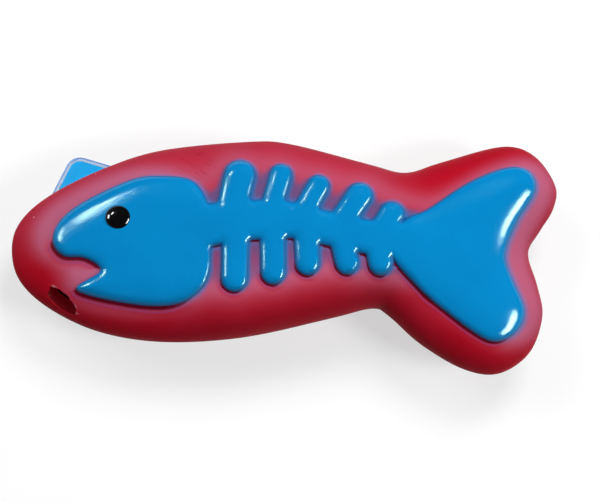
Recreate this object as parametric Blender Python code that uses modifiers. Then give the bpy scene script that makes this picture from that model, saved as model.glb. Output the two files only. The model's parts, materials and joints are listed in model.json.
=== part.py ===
"""Squeaky vinyl fish for a dog: hollow skin, raised skeleton, eyes, reed squeaker and swing tag.

Metres, +Z up. The fish lies on one flank: X runs from nose to tail, Y from belly to back and
Z through its thickness. The origin is on the ground, under the middle of the fish's box.
"""

import math

import bmesh
import bpy
from mathutils import Matrix, Vector
from mathutils.geometry import intersect_point_line

MM = 0.001

# Fish skin
FLANK_HALF = 15.5 * MM
RIM_ROUND = 12.0 * MM
FLAT_HALF_LENGTH = 14.0 * MM
TAPER_BLEND = 8.0 * MM
TAIL_TAPER = 0.055
SKIN_WALL = 2.2 * MM
SEAT_GAP = 0.3 * MM

# Skeleton relief and eyes
RELIEF_HEIGHT = 1.8 * MM
RELIEF_ROUND = 0.8 * MM
EYE_CENTRE = (-50.6, 9.9)
EYE_WIDTH = 7.2 * MM
EYE_RISE = 1.3 * MM
EYE_SEAT_DEPTH = 0.8 * MM

# Squeaker port and pocket
PORT_CENTRE = (-67.2, -14.2)
PORT_HEADING = math.radians(239)
PORT_RISE = math.radians(40)
PORT_WIDTH = 10.5 * MM
PORT_SLIT = 5.5 * MM
PORT_DEPTH = 6.0 * MM
NECK_LENGTH = 3.5 * MM
POCKET_WALL = 1.8 * MM

# Squeaker
FLANGE_WIDTH = 11.0 * MM
FLANGE_THICKNESS = 1.6 * MM
BARREL_WIDTH = 9.0 * MM
BARREL_LENGTH = 6.0 * MM
SHALLOT_WIDTH = 5.2 * MM
SHALLOT_LENGTH = 13.0 * MM
SHALLOT_RECESS = 0.6 * MM
TROUGH_WIDTH = 2.6 * MM
TROUGH_END = 1.2 * MM
WEDGE_LENGTH = 6.0 * MM
REED_WIDTH = 3.6 * MM
REED_THICKNESS = 0.2 * MM
REED_CLAMPED = 3.0 * MM
REED_FREE = 6.4 * MM

# Swing tag and its pin
PIN_CENTRE = (-66.4, 15.8)
TAG_HEADING = math.radians(-26.3)
TAG_NARROW = 30.0 * MM
TAG_LENGTH = 31.0 * MM
TAG_SPREAD = math.radians(9.7)
TAG_PIN_INSET = 8.0 * MM
TAG_PIN_OFFSET = 2.0 * MM
TAG_CORNER = 4.6 * MM
TAG_THICKNESS = 0.35 * MM
TAG_MARGIN = 1.1 * MM
TAG_SEAM = 0.1 * MM
TAG_HOLE = 1.6 * MM
TAG_ROOM = 0.6 * MM
PADDLE_WIDTH = 4.0 * MM
PADDLE_THICKNESS = 0.3 * MM
PADDLE_LIFT = 0.05 * MM
FILAMENT_WIDTH = 0.7 * MM
FILAMENT_HOLE = 1.3 * MM
T_BAR_WIDTH = 1.0 * MM
T_BAR_LENGTH = 8.0 * MM

# Mesh steps
FLANK_GRID = 4.0 * MM
SKIN_RIM_ANGLES = (14, 29, 44)
CAVITY_GRID = 7.0 * MM
CAVITY_RIM_ANGLES = (22, 46)
RELIEF_ROUND_ANGLES = (45, 90)
CURVE_STEPS = 4
ARC_STEPS = 6
ROUND_STEPS = 32
SMALL_ROUND_STEPS = 24
PIN_STEPS = 12
SMOOTH_ANGLE = math.radians(35)
MERGE_DISTANCE = 0.02 * MM
CUT_TOLERANCE = 0.001 * MM
CUT_REACH = 8.0 * MM

MID_PLANE = FLANK_HALF + SEAT_GAP + RELIEF_HEIGHT
TAG_BED = PADDLE_LIFT + PADDLE_THICKNESS + TAG_SEAM

# Outline knots in millimetres, counter-clockwise, joined by smooth curves
BODY_KNOTS = [
    (82.2, 22.0), (76.0, 31.2), (66.0, 34.2), (47.0, 29.2), (36.0, 26.0), (24.8, 28.5),
    (1.0, 34.6), (-12.7, 35.2), (-38.0, 32.6), (-55.6, 26.9), (-71.3, 18.9), (-80.0, 11.0),
    (-82.5, 2.6), (-80.0, -6.9), (-71.0, -15.3), (-56.0, -22.3), (-36.8, -25.3), (-12.9, -23.9),
    (12.7, -18.4), (25.5, -15.4), (30.6, -17.6), (40.0, -26.1), (52.8, -33.7), (63.5, -35.2),
    (73.0, -29.0), (77.2, -18.0), (75.8, -8.5), (73.3, 1.1), (77.0, 7.8), (81.4, 14.8),
]
HEAD_KNOTS = [
    (-24.0, 14.1), (-25.9, 18.3), (-29.5, 21.7), (-37.0, 22.8), (-46.2, 22.1), (-61.2, 15.2),
    (-68.0, 9.4), (-69.6, 3.6), (-66.4, -0.6), (-60.1, -1.4), (-55.2, -4.9), (-59.8, -8.0),
    (-62.6, -9.8), (-60.6, -11.7), (-50.0, -14.4), (-38.5, -15.7), (-30.4, -14.2),
    (-25.2, -9.8), (-23.3, -4.4), (-23.3, 1.3),
]
TAIL_KNOTS = [
    (32.2, -4.8), (41.5, -14.0), (54.5, -23.9), (61.1, -26.3), (67.3, -23.2), (69.9, -16.8),
    (66.3, -8.1), (64.1, -0.6), (68.1, 9.6), (73.9, 18.7), (72.4, 24.9), (65.3, 25.9),
    (53.3, 21.0), (41.0, 12.9), (36.0, 10.9),
]
# Spine: x, height of its middle and its half width, from the head to the tail
SPINE_KNOTS = [
    (-24.0, 8.0, 6.4), (-10.5, 9.5, 6.0), (0.3, 9.5, 5.5),
    (10.0, 7.1, 5.2), (21.5, 4.5, 5.2), (36.0, 3.0, 5.2),
]
# Ribs: x of the root, x and y of the tip, width
UPPER_RIBS = [
    (-16.5, -14.1, 27.4, 9.4), (-4.8, -2.0, 26.2, 6.8), (5.1, 9.4, 22.8, 6.8),
    (16.4, 22.1, 20.5, 8.0), (28.4, 31.0, 15.0, 8.0),
]
LOWER_RIBS = [
    (-16.1, -16.4, -11.9, 8.0), (-5.2, -5.0, -9.8, 7.4), (4.7, 5.2, -7.1, 7.3),
    (15.6, 17.2, -6.8, 7.4), (26.0, 26.8, -7.0, 7.4),
]


def clear_scene():
    for obj in list(bpy.data.objects):
        bpy.data.objects.remove(obj, do_unlink=True)


def new_collection(name):
    collection = bpy.data.collections.new(name)
    bpy.context.scene.collection.children.link(collection)
    return collection


def new_material(name, colour, roughness):
    material = bpy.data.materials.new(name)
    material.use_nodes = True
    shader = material.node_tree.nodes["Principled BSDF"]
    shader.inputs["Base Color"].default_value = (*colour, 1.0)
    shader.inputs["Roughness"].default_value = roughness
    shader.inputs["Metallic"].default_value = 0.0
    return material


def add_part(name, data, material, collection):
    obj = bpy.data.objects.new(name, data)
    data.materials.append(material)
    collection.objects.link(obj)
    return obj


def add_cutter(name, data, collection):
    obj = bpy.data.objects.new(name, data)
    obj.hide_render = True
    obj.display_type = "WIRE"
    collection.objects.link(obj)
    return obj


def add_boolean(obj, tool, operation):
    modifier = obj.modifiers.new(f"{operation.title()} {tool.name}", "BOOLEAN")
    modifier.operation = operation
    modifier.object = tool
    modifier.solver = "EXACT"


def finish_mesh(name, bm):
    mesh = bpy.data.meshes.new(name)
    bm.to_mesh(mesh)
    bm.free()
    mesh.shade_smooth()
    mesh.set_sharp_from_angle(angle=SMOOTH_ANGLE)
    return mesh


# Outlines

def smooth_path(knots, closed=False):
    """Return points on a smooth curve that passes through every knot."""
    count = len(knots)
    spans = count if closed else count - 1
    points = []
    for i in range(spans):
        before = knots[(i - 1) % count] if closed or i > 0 else knots[0]
        here = knots[i]
        there = knots[(i + 1) % count]
        after = knots[(i + 2) % count] if closed or i + 2 < count else knots[-1]
        for step in range(CURVE_STEPS):
            t = step / CURVE_STEPS
            points.append(tuple(
                b + 0.5 * t * (c - a + t * (2 * a - 5 * b + 4 * c - d + t * (3 * (b - c) + d - a)))
                for a, b, c, d in zip(before, here, there, after)
            ))
    if not closed:
        points.append(tuple(knots[-1]))
    return points


def spine_edge(x, side):
    """Return the height of the spine's upper (+1) or lower (-1) edge at x."""
    for left, right in zip(SPINE_KNOTS, SPINE_KNOTS[1:]):
        if x <= right[0]:
            break
    share = (x - left[0]) / (right[0] - left[0])
    middle = left[1] + share * (right[1] - left[1])
    half_width = left[2] + share * (right[2] - left[2])
    return middle + side * half_width


def rib_outline(rib, side):
    """Return a rib's outline from its left root over the round tip to its right root."""
    root_x, tip_x, tip_y, width = rib
    tip = Vector((tip_x, tip_y))
    along = (tip - Vector((root_x, spine_edge(root_x, 0)))).normalized()
    across = Vector((along.y, -along.x)) * side
    centre = tip - along * width / 2
    left_x = root_x - width / 2
    right_x = root_x + width / 2
    points = [(left_x, spine_edge(left_x, side))]
    for step in range(ARC_STEPS + 1):
        turn = math.pi * step / ARC_STEPS
        points.append(tuple(centre + (along * math.sin(turn) - across * math.cos(turn)) * width / 2))
    points.append((right_x, spine_edge(right_x, side)))
    return points


def skeleton_outline():
    """Return the outline of head plate, ribs and tail plate, counter-clockwise."""
    points = []
    for rib in reversed(UPPER_RIBS):
        points += reversed(rib_outline(rib, 1))
    points += smooth_path(HEAD_KNOTS)
    for rib in LOWER_RIBS:
        points += rib_outline(rib, -1)
    points += smooth_path(TAIL_KNOTS)
    return to_plan(points)


def to_plan(points):
    return [Vector((x * MM, y * MM)) for x, y in points]


# Skin form

def taper_run(x):
    """Return the length over which the flank has tapered at x, blended in past its level stretch."""
    beyond = max(0.0, abs(x) - FLAT_HALF_LENGTH)
    if beyond < TAPER_BLEND:
        return beyond * beyond / (2 * TAPER_BLEND)
    return beyond - TAPER_BLEND / 2


def head_taper():
    """Return the head's taper, which leaves room for the tag between the lower eye and the ground."""
    room = TAG_BED + TAG_THICKNESS + TAG_ROOM + EYE_RISE
    return room / taper_run(EYE_CENTRE[0] * MM)


def flank_height(x):
    """Return how far the flank stands from the mid plane: level amidships, lower to both ends."""
    taper = head_taper() if x < 0.0 else TAIL_TAPER
    return FLANK_HALF - taper * taper_run(x)


def from_rim(point, outline):
    """Return the shortest vector from the outline's edge to a point inside it."""
    nearest = Vector((math.inf, math.inf))
    for start, end in zip(outline, outline[1:] + outline[:1]):
        share = intersect_point_line(point, start, end)[1]
        foot = start.lerp(end, min(max(share, 0.0), 1.0))
        if (point - foot).length < nearest.length:
            nearest = point - foot
    return nearest


def skin_height(point, outline, inward=0.0):
    """Return the height above the mid plane of the skin, or of a surface lying inward of it."""
    round_width = RIM_ROUND - inward
    depth = min(max(from_rim(point, outline).length - inward, 0.0), round_width)
    lean = 1.0 - depth / round_width
    return (flank_height(point.x) - inward) * math.sqrt(max(0.0, 1.0 - lean * lean))


def cut_grid(bm, faces, spacing):
    """Cut faces along a square grid so that they can follow a curved surface."""
    edges = {edge for face in faces for edge in face.edges}
    verts = {vert for face in faces for vert in face.verts}
    region = [*verts, *edges, *faces]
    for axis in (0, 1):
        low = min(vert.co[axis] for vert in verts)
        high = max(vert.co[axis] for vert in verts)
        normal = Vector((1 - axis, axis, 0))
        for line in range(math.ceil(low / spacing), math.floor(high / spacing) + 1):
            cut = bmesh.ops.bisect_plane(
                bm, geom=region, dist=CUT_TOLERANCE, plane_co=normal * line * spacing, plane_no=normal
            )
            region = cut["geom"]


def split_faces(bm):
    """Split lifted faces along their shorter diagonals, alike on the skin and on what lies over it."""
    bm.normal_update()
    bmesh.ops.triangulate(bm, faces=bm.faces[:], quad_method="SHORT_EDGE")


def half_pillow(name, outline, inward, rim_angles, spacing):
    """Return one half of the fish's form, open at the mid plane."""
    bm = bmesh.new()
    face = bm.faces.new([bm.verts.new((*point, 0.0)) for point in outline])
    face.normal_update()
    if inward > 0.0:
        ring = bmesh.ops.inset_region(
            bm, faces=[face], thickness=inward, use_boundary=True, use_even_offset=True
        )
        bmesh.ops.delete(bm, geom=ring["faces"], context="FACES")
    done = 0.0
    for angle in rim_angles:
        inset = (RIM_ROUND - inward) * (1.0 - math.cos(math.radians(angle)))
        bmesh.ops.inset_region(
            bm, faces=[face], thickness=inset - done, use_boundary=True, use_even_offset=True
        )
        done = inset
    cut_grid(bm, [face], spacing)
    for vert in bm.verts:
        vert.co.z = skin_height(vert.co.xy, outline, inward)
        if vert.is_boundary:
            vert.co.z = 0.0
    split_faces(bm)
    return finish_mesh(name, bm)


def add_mirror(obj):
    """Mirror a half form about its mid plane and stand it at that height."""
    obj.location.z = MID_PLANE
    modifier = obj.modifiers.new("Both flanks", "MIRROR")
    modifier.use_axis = (False, False, True)
    modifier.merge_threshold = MERGE_DISTANCE


# Turned pieces

def turned_profile(name, profile):
    """Return a profile of (radius, height) points, given down its outer side, as a wire in XZ."""
    bm = bmesh.new()
    verts = [bm.verts.new((radius, 0.0, height)) for radius, height in profile]
    closed = all(radius > 0.0 for radius, height in profile)
    ends = verts[1:] + verts[:1] if closed else verts[1:]
    for start, end in zip(verts, ends):
        bm.edges.new((start, end))
    mesh = bpy.data.meshes.new(name)
    bm.to_mesh(mesh)
    bm.free()
    return mesh


def add_turn(obj, frame, steps):
    """Turn a profile about the Z axis of a frame."""
    obj.matrix_world = frame
    modifier = obj.modifiers.new("Turn", "SCREW")
    modifier.steps = steps
    modifier.render_steps = steps
    modifier.use_merge_vertices = True
    modifier.merge_threshold = MERGE_DISTANCE
    modifier.use_smooth_shade = True
    return obj


def turned_part(name, profile, frame, material, parts, steps=ROUND_STEPS):
    return add_turn(add_part(name, turned_profile(name, profile), material, parts), frame, steps)


def turned_cutter(name, profile, frame, cutters, steps=ROUND_STEPS):
    return add_turn(add_cutter(name, turned_profile(name, profile), cutters), frame, steps)


def rod_profile(radius, low, high):
    return [(0.0, high), (radius, high), (radius, low), (0.0, low)]


# Sub-parts

def build_skin(outline, material, parts, cutters):
    """Build the hollow skin with its squeaker pocket, port and pin hole."""
    skin_form = half_pillow("vinyl_body", outline, 0.0, SKIN_RIM_ANGLES, FLANK_GRID)
    skin = add_part("vinyl_body", skin_form, material, parts)
    add_mirror(skin)
    cavity_form = half_pillow("cavity", outline, SKIN_WALL, CAVITY_RIM_ANGLES, CAVITY_GRID)
    cavity = add_cutter("cavity", cavity_form, cutters)
    add_mirror(cavity)

    frame = port_frame(outline)
    groove_radius = FLANGE_WIDTH / 2 + SEAT_GAP
    groove_low = -(PORT_DEPTH + FLANGE_THICKNESS + 2 * SEAT_GAP)
    neck_radius = BARREL_WIDTH / 2 + SEAT_GAP
    neck_low = groove_low - NECK_LENGTH
    pocket_profile = rod_profile(groove_radius + POCKET_WALL, neck_low, CUT_REACH)
    add_boolean(cavity, turned_cutter("pocket", pocket_profile, frame, cutters), "DIFFERENCE")
    add_boolean(skin, cavity, "DIFFERENCE")

    inside = neck_low - NECK_LENGTH
    seat = turned_cutter("squeaker_seat", [
        (0.0, -PORT_DEPTH), (groove_radius, -PORT_DEPTH), (groove_radius, groove_low),
        (neck_radius, groove_low), (neck_radius, inside), (0.0, inside),
    ], frame, cutters)
    add_boolean(skin, seat, "DIFFERENCE")
    slit = frame @ Matrix.Diagonal((PORT_WIDTH, PORT_SLIT, 1.0, 1.0))
    port = turned_cutter("port", rod_profile(0.5, -PORT_DEPTH - SEAT_GAP, CUT_REACH), slit, cutters)
    add_boolean(skin, port, "DIFFERENCE")
    hole_profile = rod_profile(FILAMENT_HOLE / 2, 0.0, t_bar_height(outline))
    hole = turned_cutter("pin_hole", hole_profile, pin_frame(0.0), cutters, PIN_STEPS)
    add_boolean(skin, hole, "DIFFERENCE")


def relief_top(point, outline):
    return skin_height(point, outline) + SEAT_GAP + RELIEF_HEIGHT


def build_relief(name, side, outline, material, parts, cutters):
    """Build the raised skeleton on the upper (+1) or lower (-1) flank, following the skin."""
    bm = bmesh.new()
    bottom = bm.faces.new([bm.verts.new((*point, 0.0)) for point in skeleton_outline()])
    bottom.normal_update()
    raised = bmesh.ops.extrude_face_region(bm, geom=[bottom])["geom"]
    top = next(item for item in raised if isinstance(item, bmesh.types.BMFace))
    bmesh.ops.translate(bm, verts=top.verts, vec=(0.0, 0.0, RELIEF_HEIGHT - RELIEF_ROUND))
    bm.normal_update()
    inset_done = 0.0
    rise_done = 0.0
    for angle in RELIEF_ROUND_ANGLES:
        inset = RELIEF_ROUND * (1.0 - math.cos(math.radians(angle)))
        rise = RELIEF_ROUND * math.sin(math.radians(angle))
        bmesh.ops.inset_region(
            bm, faces=[top], thickness=inset - inset_done, depth=rise - rise_done, use_even_offset=True
        )
        inset_done = inset
        rise_done = rise
    cut_grid(bm, [bottom, top], FLANK_GRID)
    for vert in bm.verts:
        vert.co.z = side * (vert.co.z + SEAT_GAP + skin_height(vert.co.xy, outline))
    split_faces(bm)
    bmesh.ops.recalc_face_normals(bm, faces=bm.faces[:])
    relief = add_part(name, finish_mesh(name, bm), material, parts)
    relief.location.z = MID_PLANE

    place = to_plan([EYE_CENTRE])[0]
    top_height = relief_top(place, outline)
    seat_profile = rod_profile(EYE_WIDTH / 2 + SEAT_GAP, top_height - EYE_SEAT_DEPTH, top_height + CUT_REACH)
    frame = flank_frame(place, side)
    seat = turned_cutter(f"{name}_eye_seat", seat_profile, frame, cutters, SMALL_ROUND_STEPS)
    add_boolean(relief, seat, "DIFFERENCE")


def flank_frame(place, side):
    """Return a frame on the mid plane whose Z points out of the upper or lower flank."""
    turn = Matrix.Identity(4) if side > 0 else Matrix.Rotation(math.pi, 4, "X")
    return Matrix.Translation((*place, MID_PLANE)) @ turn


def build_eye(name, side, outline, material, parts):
    """Build a domed eye that sits in its seat on the head plate."""
    place = to_plan([EYE_CENTRE])[0]
    top = relief_top(place, outline)
    base = top - EYE_SEAT_DEPTH + SEAT_GAP
    radius = EYE_WIDTH / 2
    profile = []
    for step in range(ARC_STEPS + 1):
        turn = math.pi / 2 * step / ARC_STEPS
        profile.append((radius * math.sin(turn), top + EYE_RISE * math.cos(turn)))
    profile += [(radius, base), (0.0, base)]
    turned_part(name, profile, flank_frame(place, side), material, parts, SMALL_ROUND_STEPS)


def port_frame(outline):
    """Return the squeaker's frame: origin in the port's mouth on the skin, Z along its axis and out."""
    place = to_plan([PORT_CENTRE])[0]
    mouth = Vector((*place, MID_PLANE + skin_height(place, outline)))
    flat = Vector((math.cos(PORT_HEADING), math.sin(PORT_HEADING), 0.0))
    out = flat * math.cos(PORT_RISE) + Vector((0.0, 0.0, math.sin(PORT_RISE)))
    up = Vector((0.0, 0.0, 1.0)) - out * out.z
    up.normalize()
    across = up.cross(out)
    turn = Matrix((across, up, out)).transposed().to_4x4()
    return Matrix.Translation(mouth) @ turn


def half_round(name, low, high, keep, material, frame, parts, cutters):
    """Build the half of a round bar on one side (keep = +1 or -1) of the reed's slot."""
    profile = rod_profile(SHALLOT_WIDTH / 2, low, high)
    bar = turned_part(name, profile, frame, material, parts, SMALL_ROUND_STEPS)
    slot = REED_THICKNESS / 2 + SEAT_GAP
    reach = SHALLOT_WIDTH
    bm = bmesh.new()
    bmesh.ops.create_cube(bm, size=2.0)
    bmesh.ops.scale(bm, vec=(reach, reach, high - low), verts=bm.verts)
    bmesh.ops.translate(bm, vec=(0.0, keep * (slot - reach), (low + high) / 2), verts=bm.verts)
    flat = add_cutter(f"{name}_flat", finish_mesh(f"{name}_flat", bm), cutters)
    flat.matrix_world = frame
    add_boolean(bar, flat, "DIFFERENCE")
    return bar


def build_squeaker(outline, plastic, film, parts, cutters):
    """Build the pressed-in squeaker: flanged housing, shallot, wedge and reed."""
    frame = port_frame(outline)
    flange_top = -(PORT_DEPTH + SEAT_GAP)
    flange_low = flange_top - FLANGE_THICKNESS
    barrel_low = flange_low - BARREL_LENGTH
    bore = SHALLOT_WIDTH / 2 + SEAT_GAP
    turned_part("squeaker_housing", [
        (bore, flange_top), (FLANGE_WIDTH / 2, flange_top), (FLANGE_WIDTH / 2, flange_low),
        (BARREL_WIDTH / 2, flange_low), (BARREL_WIDTH / 2, barrel_low), (bore, barrel_low),
    ], frame, plastic, parts)

    root = flange_top - SHALLOT_RECESS
    tip = root - SHALLOT_LENGTH
    shallot = half_round("squeaker_shallot", tip, root, -1, plastic, frame, parts, cutters)
    trough_profile = rod_profile(TROUGH_WIDTH / 2, tip + TROUGH_END, root + SHALLOT_RECESS)
    trough = turned_cutter("trough", trough_profile, frame, cutters, SMALL_ROUND_STEPS)
    add_boolean(shallot, trough, "DIFFERENCE")
    half_round("squeaker_wedge", root - WEDGE_LENGTH, root, 1, plastic, frame, parts, cutters)

    half_width = REED_WIDTH / 2
    tongue = [(half_width, REED_CLAMPED), (-half_width, REED_CLAMPED)]
    for step in range(ARC_STEPS + 1):
        turn = math.pi * step / ARC_STEPS
        reach = half_width - REED_FREE - half_width * math.sin(turn)
        tongue.append((-half_width * math.cos(turn), reach))
    reed = add_part("squeaker_reed", flat_outline("squeaker_reed", [tongue], REED_THICKNESS), film, parts)
    clamp_edge = Matrix.Translation((0.0, 0.0, root - WEDGE_LENGTH + SEAT_GAP))
    reed.matrix_world = frame @ clamp_edge @ Matrix.Rotation(math.pi / 2, 4, "X")


def flat_outline(name, loops, thickness):
    """Return a 2D curve of closed straight-edged loops, extruded to a thickness."""
    curve = bpy.data.curves.new(name, "CURVE")
    curve.dimensions = "2D"
    curve.fill_mode = "BOTH"
    curve.extrude = thickness / 2
    for loop in loops:
        spline = curve.splines.new("POLY")
        spline.points.add(len(loop) - 1)
        for point, place in zip(spline.points, loop):
            point.co = (*place, 0.0, 1.0)
        spline.use_cyclic_u = True
    return curve


def tag_outline(inset):
    """Return the tag's rounded outline about the pin, drawn in by an inset."""
    slope = math.tan(TAG_SPREAD)
    narrow = TAG_NARROW / 2 - inset * (1.0 / math.cos(TAG_SPREAD) - slope)
    near = inset - TAG_PIN_INSET
    far = TAG_LENGTH - inset - TAG_PIN_INSET
    wide = narrow + (far - near) * slope
    radius = TAG_CORNER - inset
    points = []
    for along, half, turn_from, turn in (
        (near, -narrow, math.pi, math.pi / 2 - TAG_SPREAD),
        (far, -wide, -math.pi / 2 - TAG_SPREAD, math.pi / 2 + TAG_SPREAD),
        (far, wide, 0.0, math.pi / 2 + TAG_SPREAD),
        (near, narrow, math.pi / 2 + TAG_SPREAD, math.pi / 2 - TAG_SPREAD),
    ):
        inner = radius if along == near else -radius
        side = 1.0 if half > 0 else -1.0
        taper = radius / math.cos(TAG_SPREAD) - inner * slope
        centre = Vector((along + inner, half - side * taper + TAG_PIN_OFFSET))
        for step in range(ARC_STEPS + 1):
            angle = turn_from + turn * step / ARC_STEPS
            points.append((centre.x + radius * math.cos(angle), centre.y + radius * math.sin(angle)))
    return points


def t_bar_height(outline):
    """Return the height of the T-bar's axis, clear above the inner face of the lower flank."""
    inner = skin_height(to_plan([PIN_CENTRE])[0], outline, SKIN_WALL)
    return MID_PLANE - inner + T_BAR_WIDTH + 2 * SEAT_GAP


def pin_frame(height):
    return Matrix.Translation((*to_plan([PIN_CENTRE])[0], height))


def build_tag(print_finish, film, parts):
    """Build the printed card and its film margin, hung on the pin's axis."""
    swivel = bpy.data.objects.new("tag_swivel_axis", None)
    swivel.matrix_world = pin_frame(TAG_BED + TAG_THICKNESS / 2) @ Matrix.Rotation(TAG_HEADING, 4, "Z")
    parts.objects.link(swivel)

    hole = []
    for step in range(PIN_STEPS):
        turn = -2 * math.pi * step / PIN_STEPS
        hole.append((TAG_HOLE / 2 * math.cos(turn), TAG_HOLE / 2 * math.sin(turn)))
    card_loops = [tag_outline(TAG_MARGIN + TAG_SEAM), hole]
    card = add_part("tag_card", flat_outline("tag_card", card_loops, TAG_THICKNESS), print_finish, parts)
    card.parent = swivel
    film_loops = [tag_outline(0.0), tag_outline(TAG_MARGIN)]
    border = add_part("tag_film", flat_outline("tag_film", film_loops, TAG_THICKNESS), film, parts)
    border.parent = swivel


def build_pin(outline, nylon, parts, cutters):
    """Build the nylon pin: a paddle under the tag, a filament, and a T-bar inside the skin."""
    paddle_top = PADDLE_LIFT + PADDLE_THICKNESS
    bar_height = t_bar_height(outline)
    pin = turned_part("tag_pin", [
        (0.0, bar_height), (FILAMENT_WIDTH / 2, bar_height), (FILAMENT_WIDTH / 2, paddle_top),
        (PADDLE_WIDTH / 2, paddle_top), (PADDLE_WIDTH / 2, PADDLE_LIFT), (0.0, PADDLE_LIFT),
    ], pin_frame(0.0), nylon, parts, PIN_STEPS)
    inward = from_rim(to_plan([PIN_CENTRE])[0], outline)
    heading = Matrix.Rotation(math.atan2(inward.y, inward.x), 4, "Z")
    along_rim = pin_frame(bar_height) @ heading @ Matrix.Rotation(math.pi / 2, 4, "X")
    bar_profile = rod_profile(T_BAR_WIDTH / 2, -T_BAR_LENGTH / 2, T_BAR_LENGTH / 2)
    bar = turned_cutter("t_bar", bar_profile, along_rim, cutters, PIN_STEPS)
    add_boolean(pin, bar, "UNION")


def main():
    clear_scene()
    parts = new_collection("squeaky_fish_toy")
    cutters = new_collection("cutters")
    red = new_material("red_vinyl", (0.42, 0.02, 0.045), 0.5)
    blue = new_material("blue_paint", (0.01, 0.23, 0.57), 0.3)
    black = new_material("black_paint", (0.01, 0.01, 0.012), 0.15)
    plastic = new_material("squeaker_plastic", (0.8, 0.8, 0.78), 0.4)
    reed_film = new_material("reed_film", (0.75, 0.78, 0.8), 0.3)
    card_print = new_material("tag_print", (0.02, 0.42, 0.9), 0.35)
    margin_film = new_material("tag_margin", (0.48, 0.6, 0.85), 0.25)
    nylon = new_material("pin_nylon", (0.85, 0.86, 0.87), 0.35)

    outline = to_plan(smooth_path(BODY_KNOTS, closed=True))
    build_skin(outline, red, parts, cutters)
    for flank, side in (("front", 1), ("back", -1)):
        build_relief(f"skeleton_{flank}", side, outline, blue, parts, cutters)
        build_eye(f"eye_{flank}", side, outline, black, parts)
    build_squeaker(outline, plastic, reed_film, parts, cutters)
    build_tag(card_print, margin_film, parts)
    build_pin(outline, nylon, parts, cutters)


main()
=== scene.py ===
"""Looks of a squeaky vinyl fish: skin, painted skeletons, eyes, squeaker and swing tag.

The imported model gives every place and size. Each class below dresses one sub-assembly of it.
"""

import json
import logging
import math
from collections.abc import Iterator
from contextlib import contextmanager
from dataclasses import dataclass
from enum import Enum

import bpy
import numpy as np
from mathutils import Matrix, Vector, kdtree


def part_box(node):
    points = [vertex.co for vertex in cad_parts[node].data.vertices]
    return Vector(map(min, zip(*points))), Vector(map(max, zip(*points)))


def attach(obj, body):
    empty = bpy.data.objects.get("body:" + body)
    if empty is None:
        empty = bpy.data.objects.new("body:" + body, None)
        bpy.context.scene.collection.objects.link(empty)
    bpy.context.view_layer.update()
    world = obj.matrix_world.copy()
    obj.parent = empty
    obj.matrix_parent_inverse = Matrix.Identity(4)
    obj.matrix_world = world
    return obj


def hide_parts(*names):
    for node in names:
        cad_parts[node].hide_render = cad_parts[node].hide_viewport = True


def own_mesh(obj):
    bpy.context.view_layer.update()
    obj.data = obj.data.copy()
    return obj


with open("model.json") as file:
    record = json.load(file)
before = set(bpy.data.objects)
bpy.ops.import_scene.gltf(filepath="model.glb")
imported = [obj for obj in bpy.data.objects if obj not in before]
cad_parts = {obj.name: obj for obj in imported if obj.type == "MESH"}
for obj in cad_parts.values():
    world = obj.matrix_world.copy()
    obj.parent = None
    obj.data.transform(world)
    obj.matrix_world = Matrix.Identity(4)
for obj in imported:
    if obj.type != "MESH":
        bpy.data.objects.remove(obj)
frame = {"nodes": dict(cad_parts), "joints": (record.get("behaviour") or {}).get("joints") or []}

MM = 0.001
# Distance within which two points are one
MERGE = 0.01 * MM
# Range that most of a noise texture falls in
NOISE_SPAN = (0.3, 0.7)
LOG = logging.getLogger("fish")

Pair = tuple[float, float]
Colour = tuple[float, float, float, float]
Piece = bpy.types.Object
Material = bpy.types.Material
Tree = bpy.types.NodeTree
Node = bpy.types.Node
Socket = bpy.types.NodeSocket
Source = float | Colour | Socket


class Flank(Enum):
    """The two sides of the fish, by the sign of their rise from the mid-plane."""

    UPPER = 1.0
    LOWER = -1.0


class LampUse(Enum):
    """What a lamp does: give the light level or show as a glint on glossy surfaces."""

    LEVEL = "level"
    GLINT = "glint"


# Number helpers


def smoothstep(values: np.ndarray, low: float, high: float) -> np.ndarray:
    """Ease values from 0 at low to 1 at high."""
    share = np.clip((values - low) / (high - low), 0.0, 1.0)
    return share * share * (3.0 - 2.0 * share)


def blended(first: float | np.ndarray, second: float | np.ndarray,
            share: float | np.ndarray) -> np.ndarray:
    """Go from first to second as a share goes from 0 to 1."""
    return first + (second - first) * share


def arched(depth: np.ndarray, width: float | np.ndarray) -> np.ndarray:
    """Return the rise from 0 to 1 of a quarter ellipse of some width."""
    return np.sqrt(1.0 - (1.0 - np.clip(depth / width, 0.0, 1.0)) ** 2)


@dataclass(frozen=True)
class Stretch:
    """Stretch of the fish's length with soft ends."""

    first: float
    last: float
    blend: float

    def share(self, along: np.ndarray, softness: float = 1.0) -> np.ndarray:
        """Tell how far places lie on the stretch.

        Args:
            along: Places along x.
            softness: Width of the soft ends in blends.

        Returns:
            1 on the stretch and 0 past its soft ends.
        """
        blend = self.blend * softness
        rising = smoothstep(along, self.first - blend, self.first)
        return rising * smoothstep(along, self.last + blend, self.last)


# Where the ribs lie, between the head plate and the tail plate
RIBS = Stretch(-23.0 * MM, 36.0 * MM, 4.0 * MM)


# Mesh helpers


def activate(piece: Piece) -> None:
    """Make a piece the only selected and active object.

    Args:
        piece: Object that the next operators act on.
    """
    bpy.ops.object.select_all(action="DESELECT")
    piece.select_set(True)
    bpy.context.view_layer.objects.active = piece


@contextmanager
def editing(piece: Piece) -> Iterator[None]:
    """Hold a piece in edit mode with all of it selected.

    Args:
        piece: Object to edit.
    """
    activate(piece)
    bpy.ops.object.mode_set(mode="EDIT")
    bpy.ops.mesh.select_all(action="SELECT")
    yield
    bpy.ops.object.mode_set(mode="OBJECT")


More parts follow.
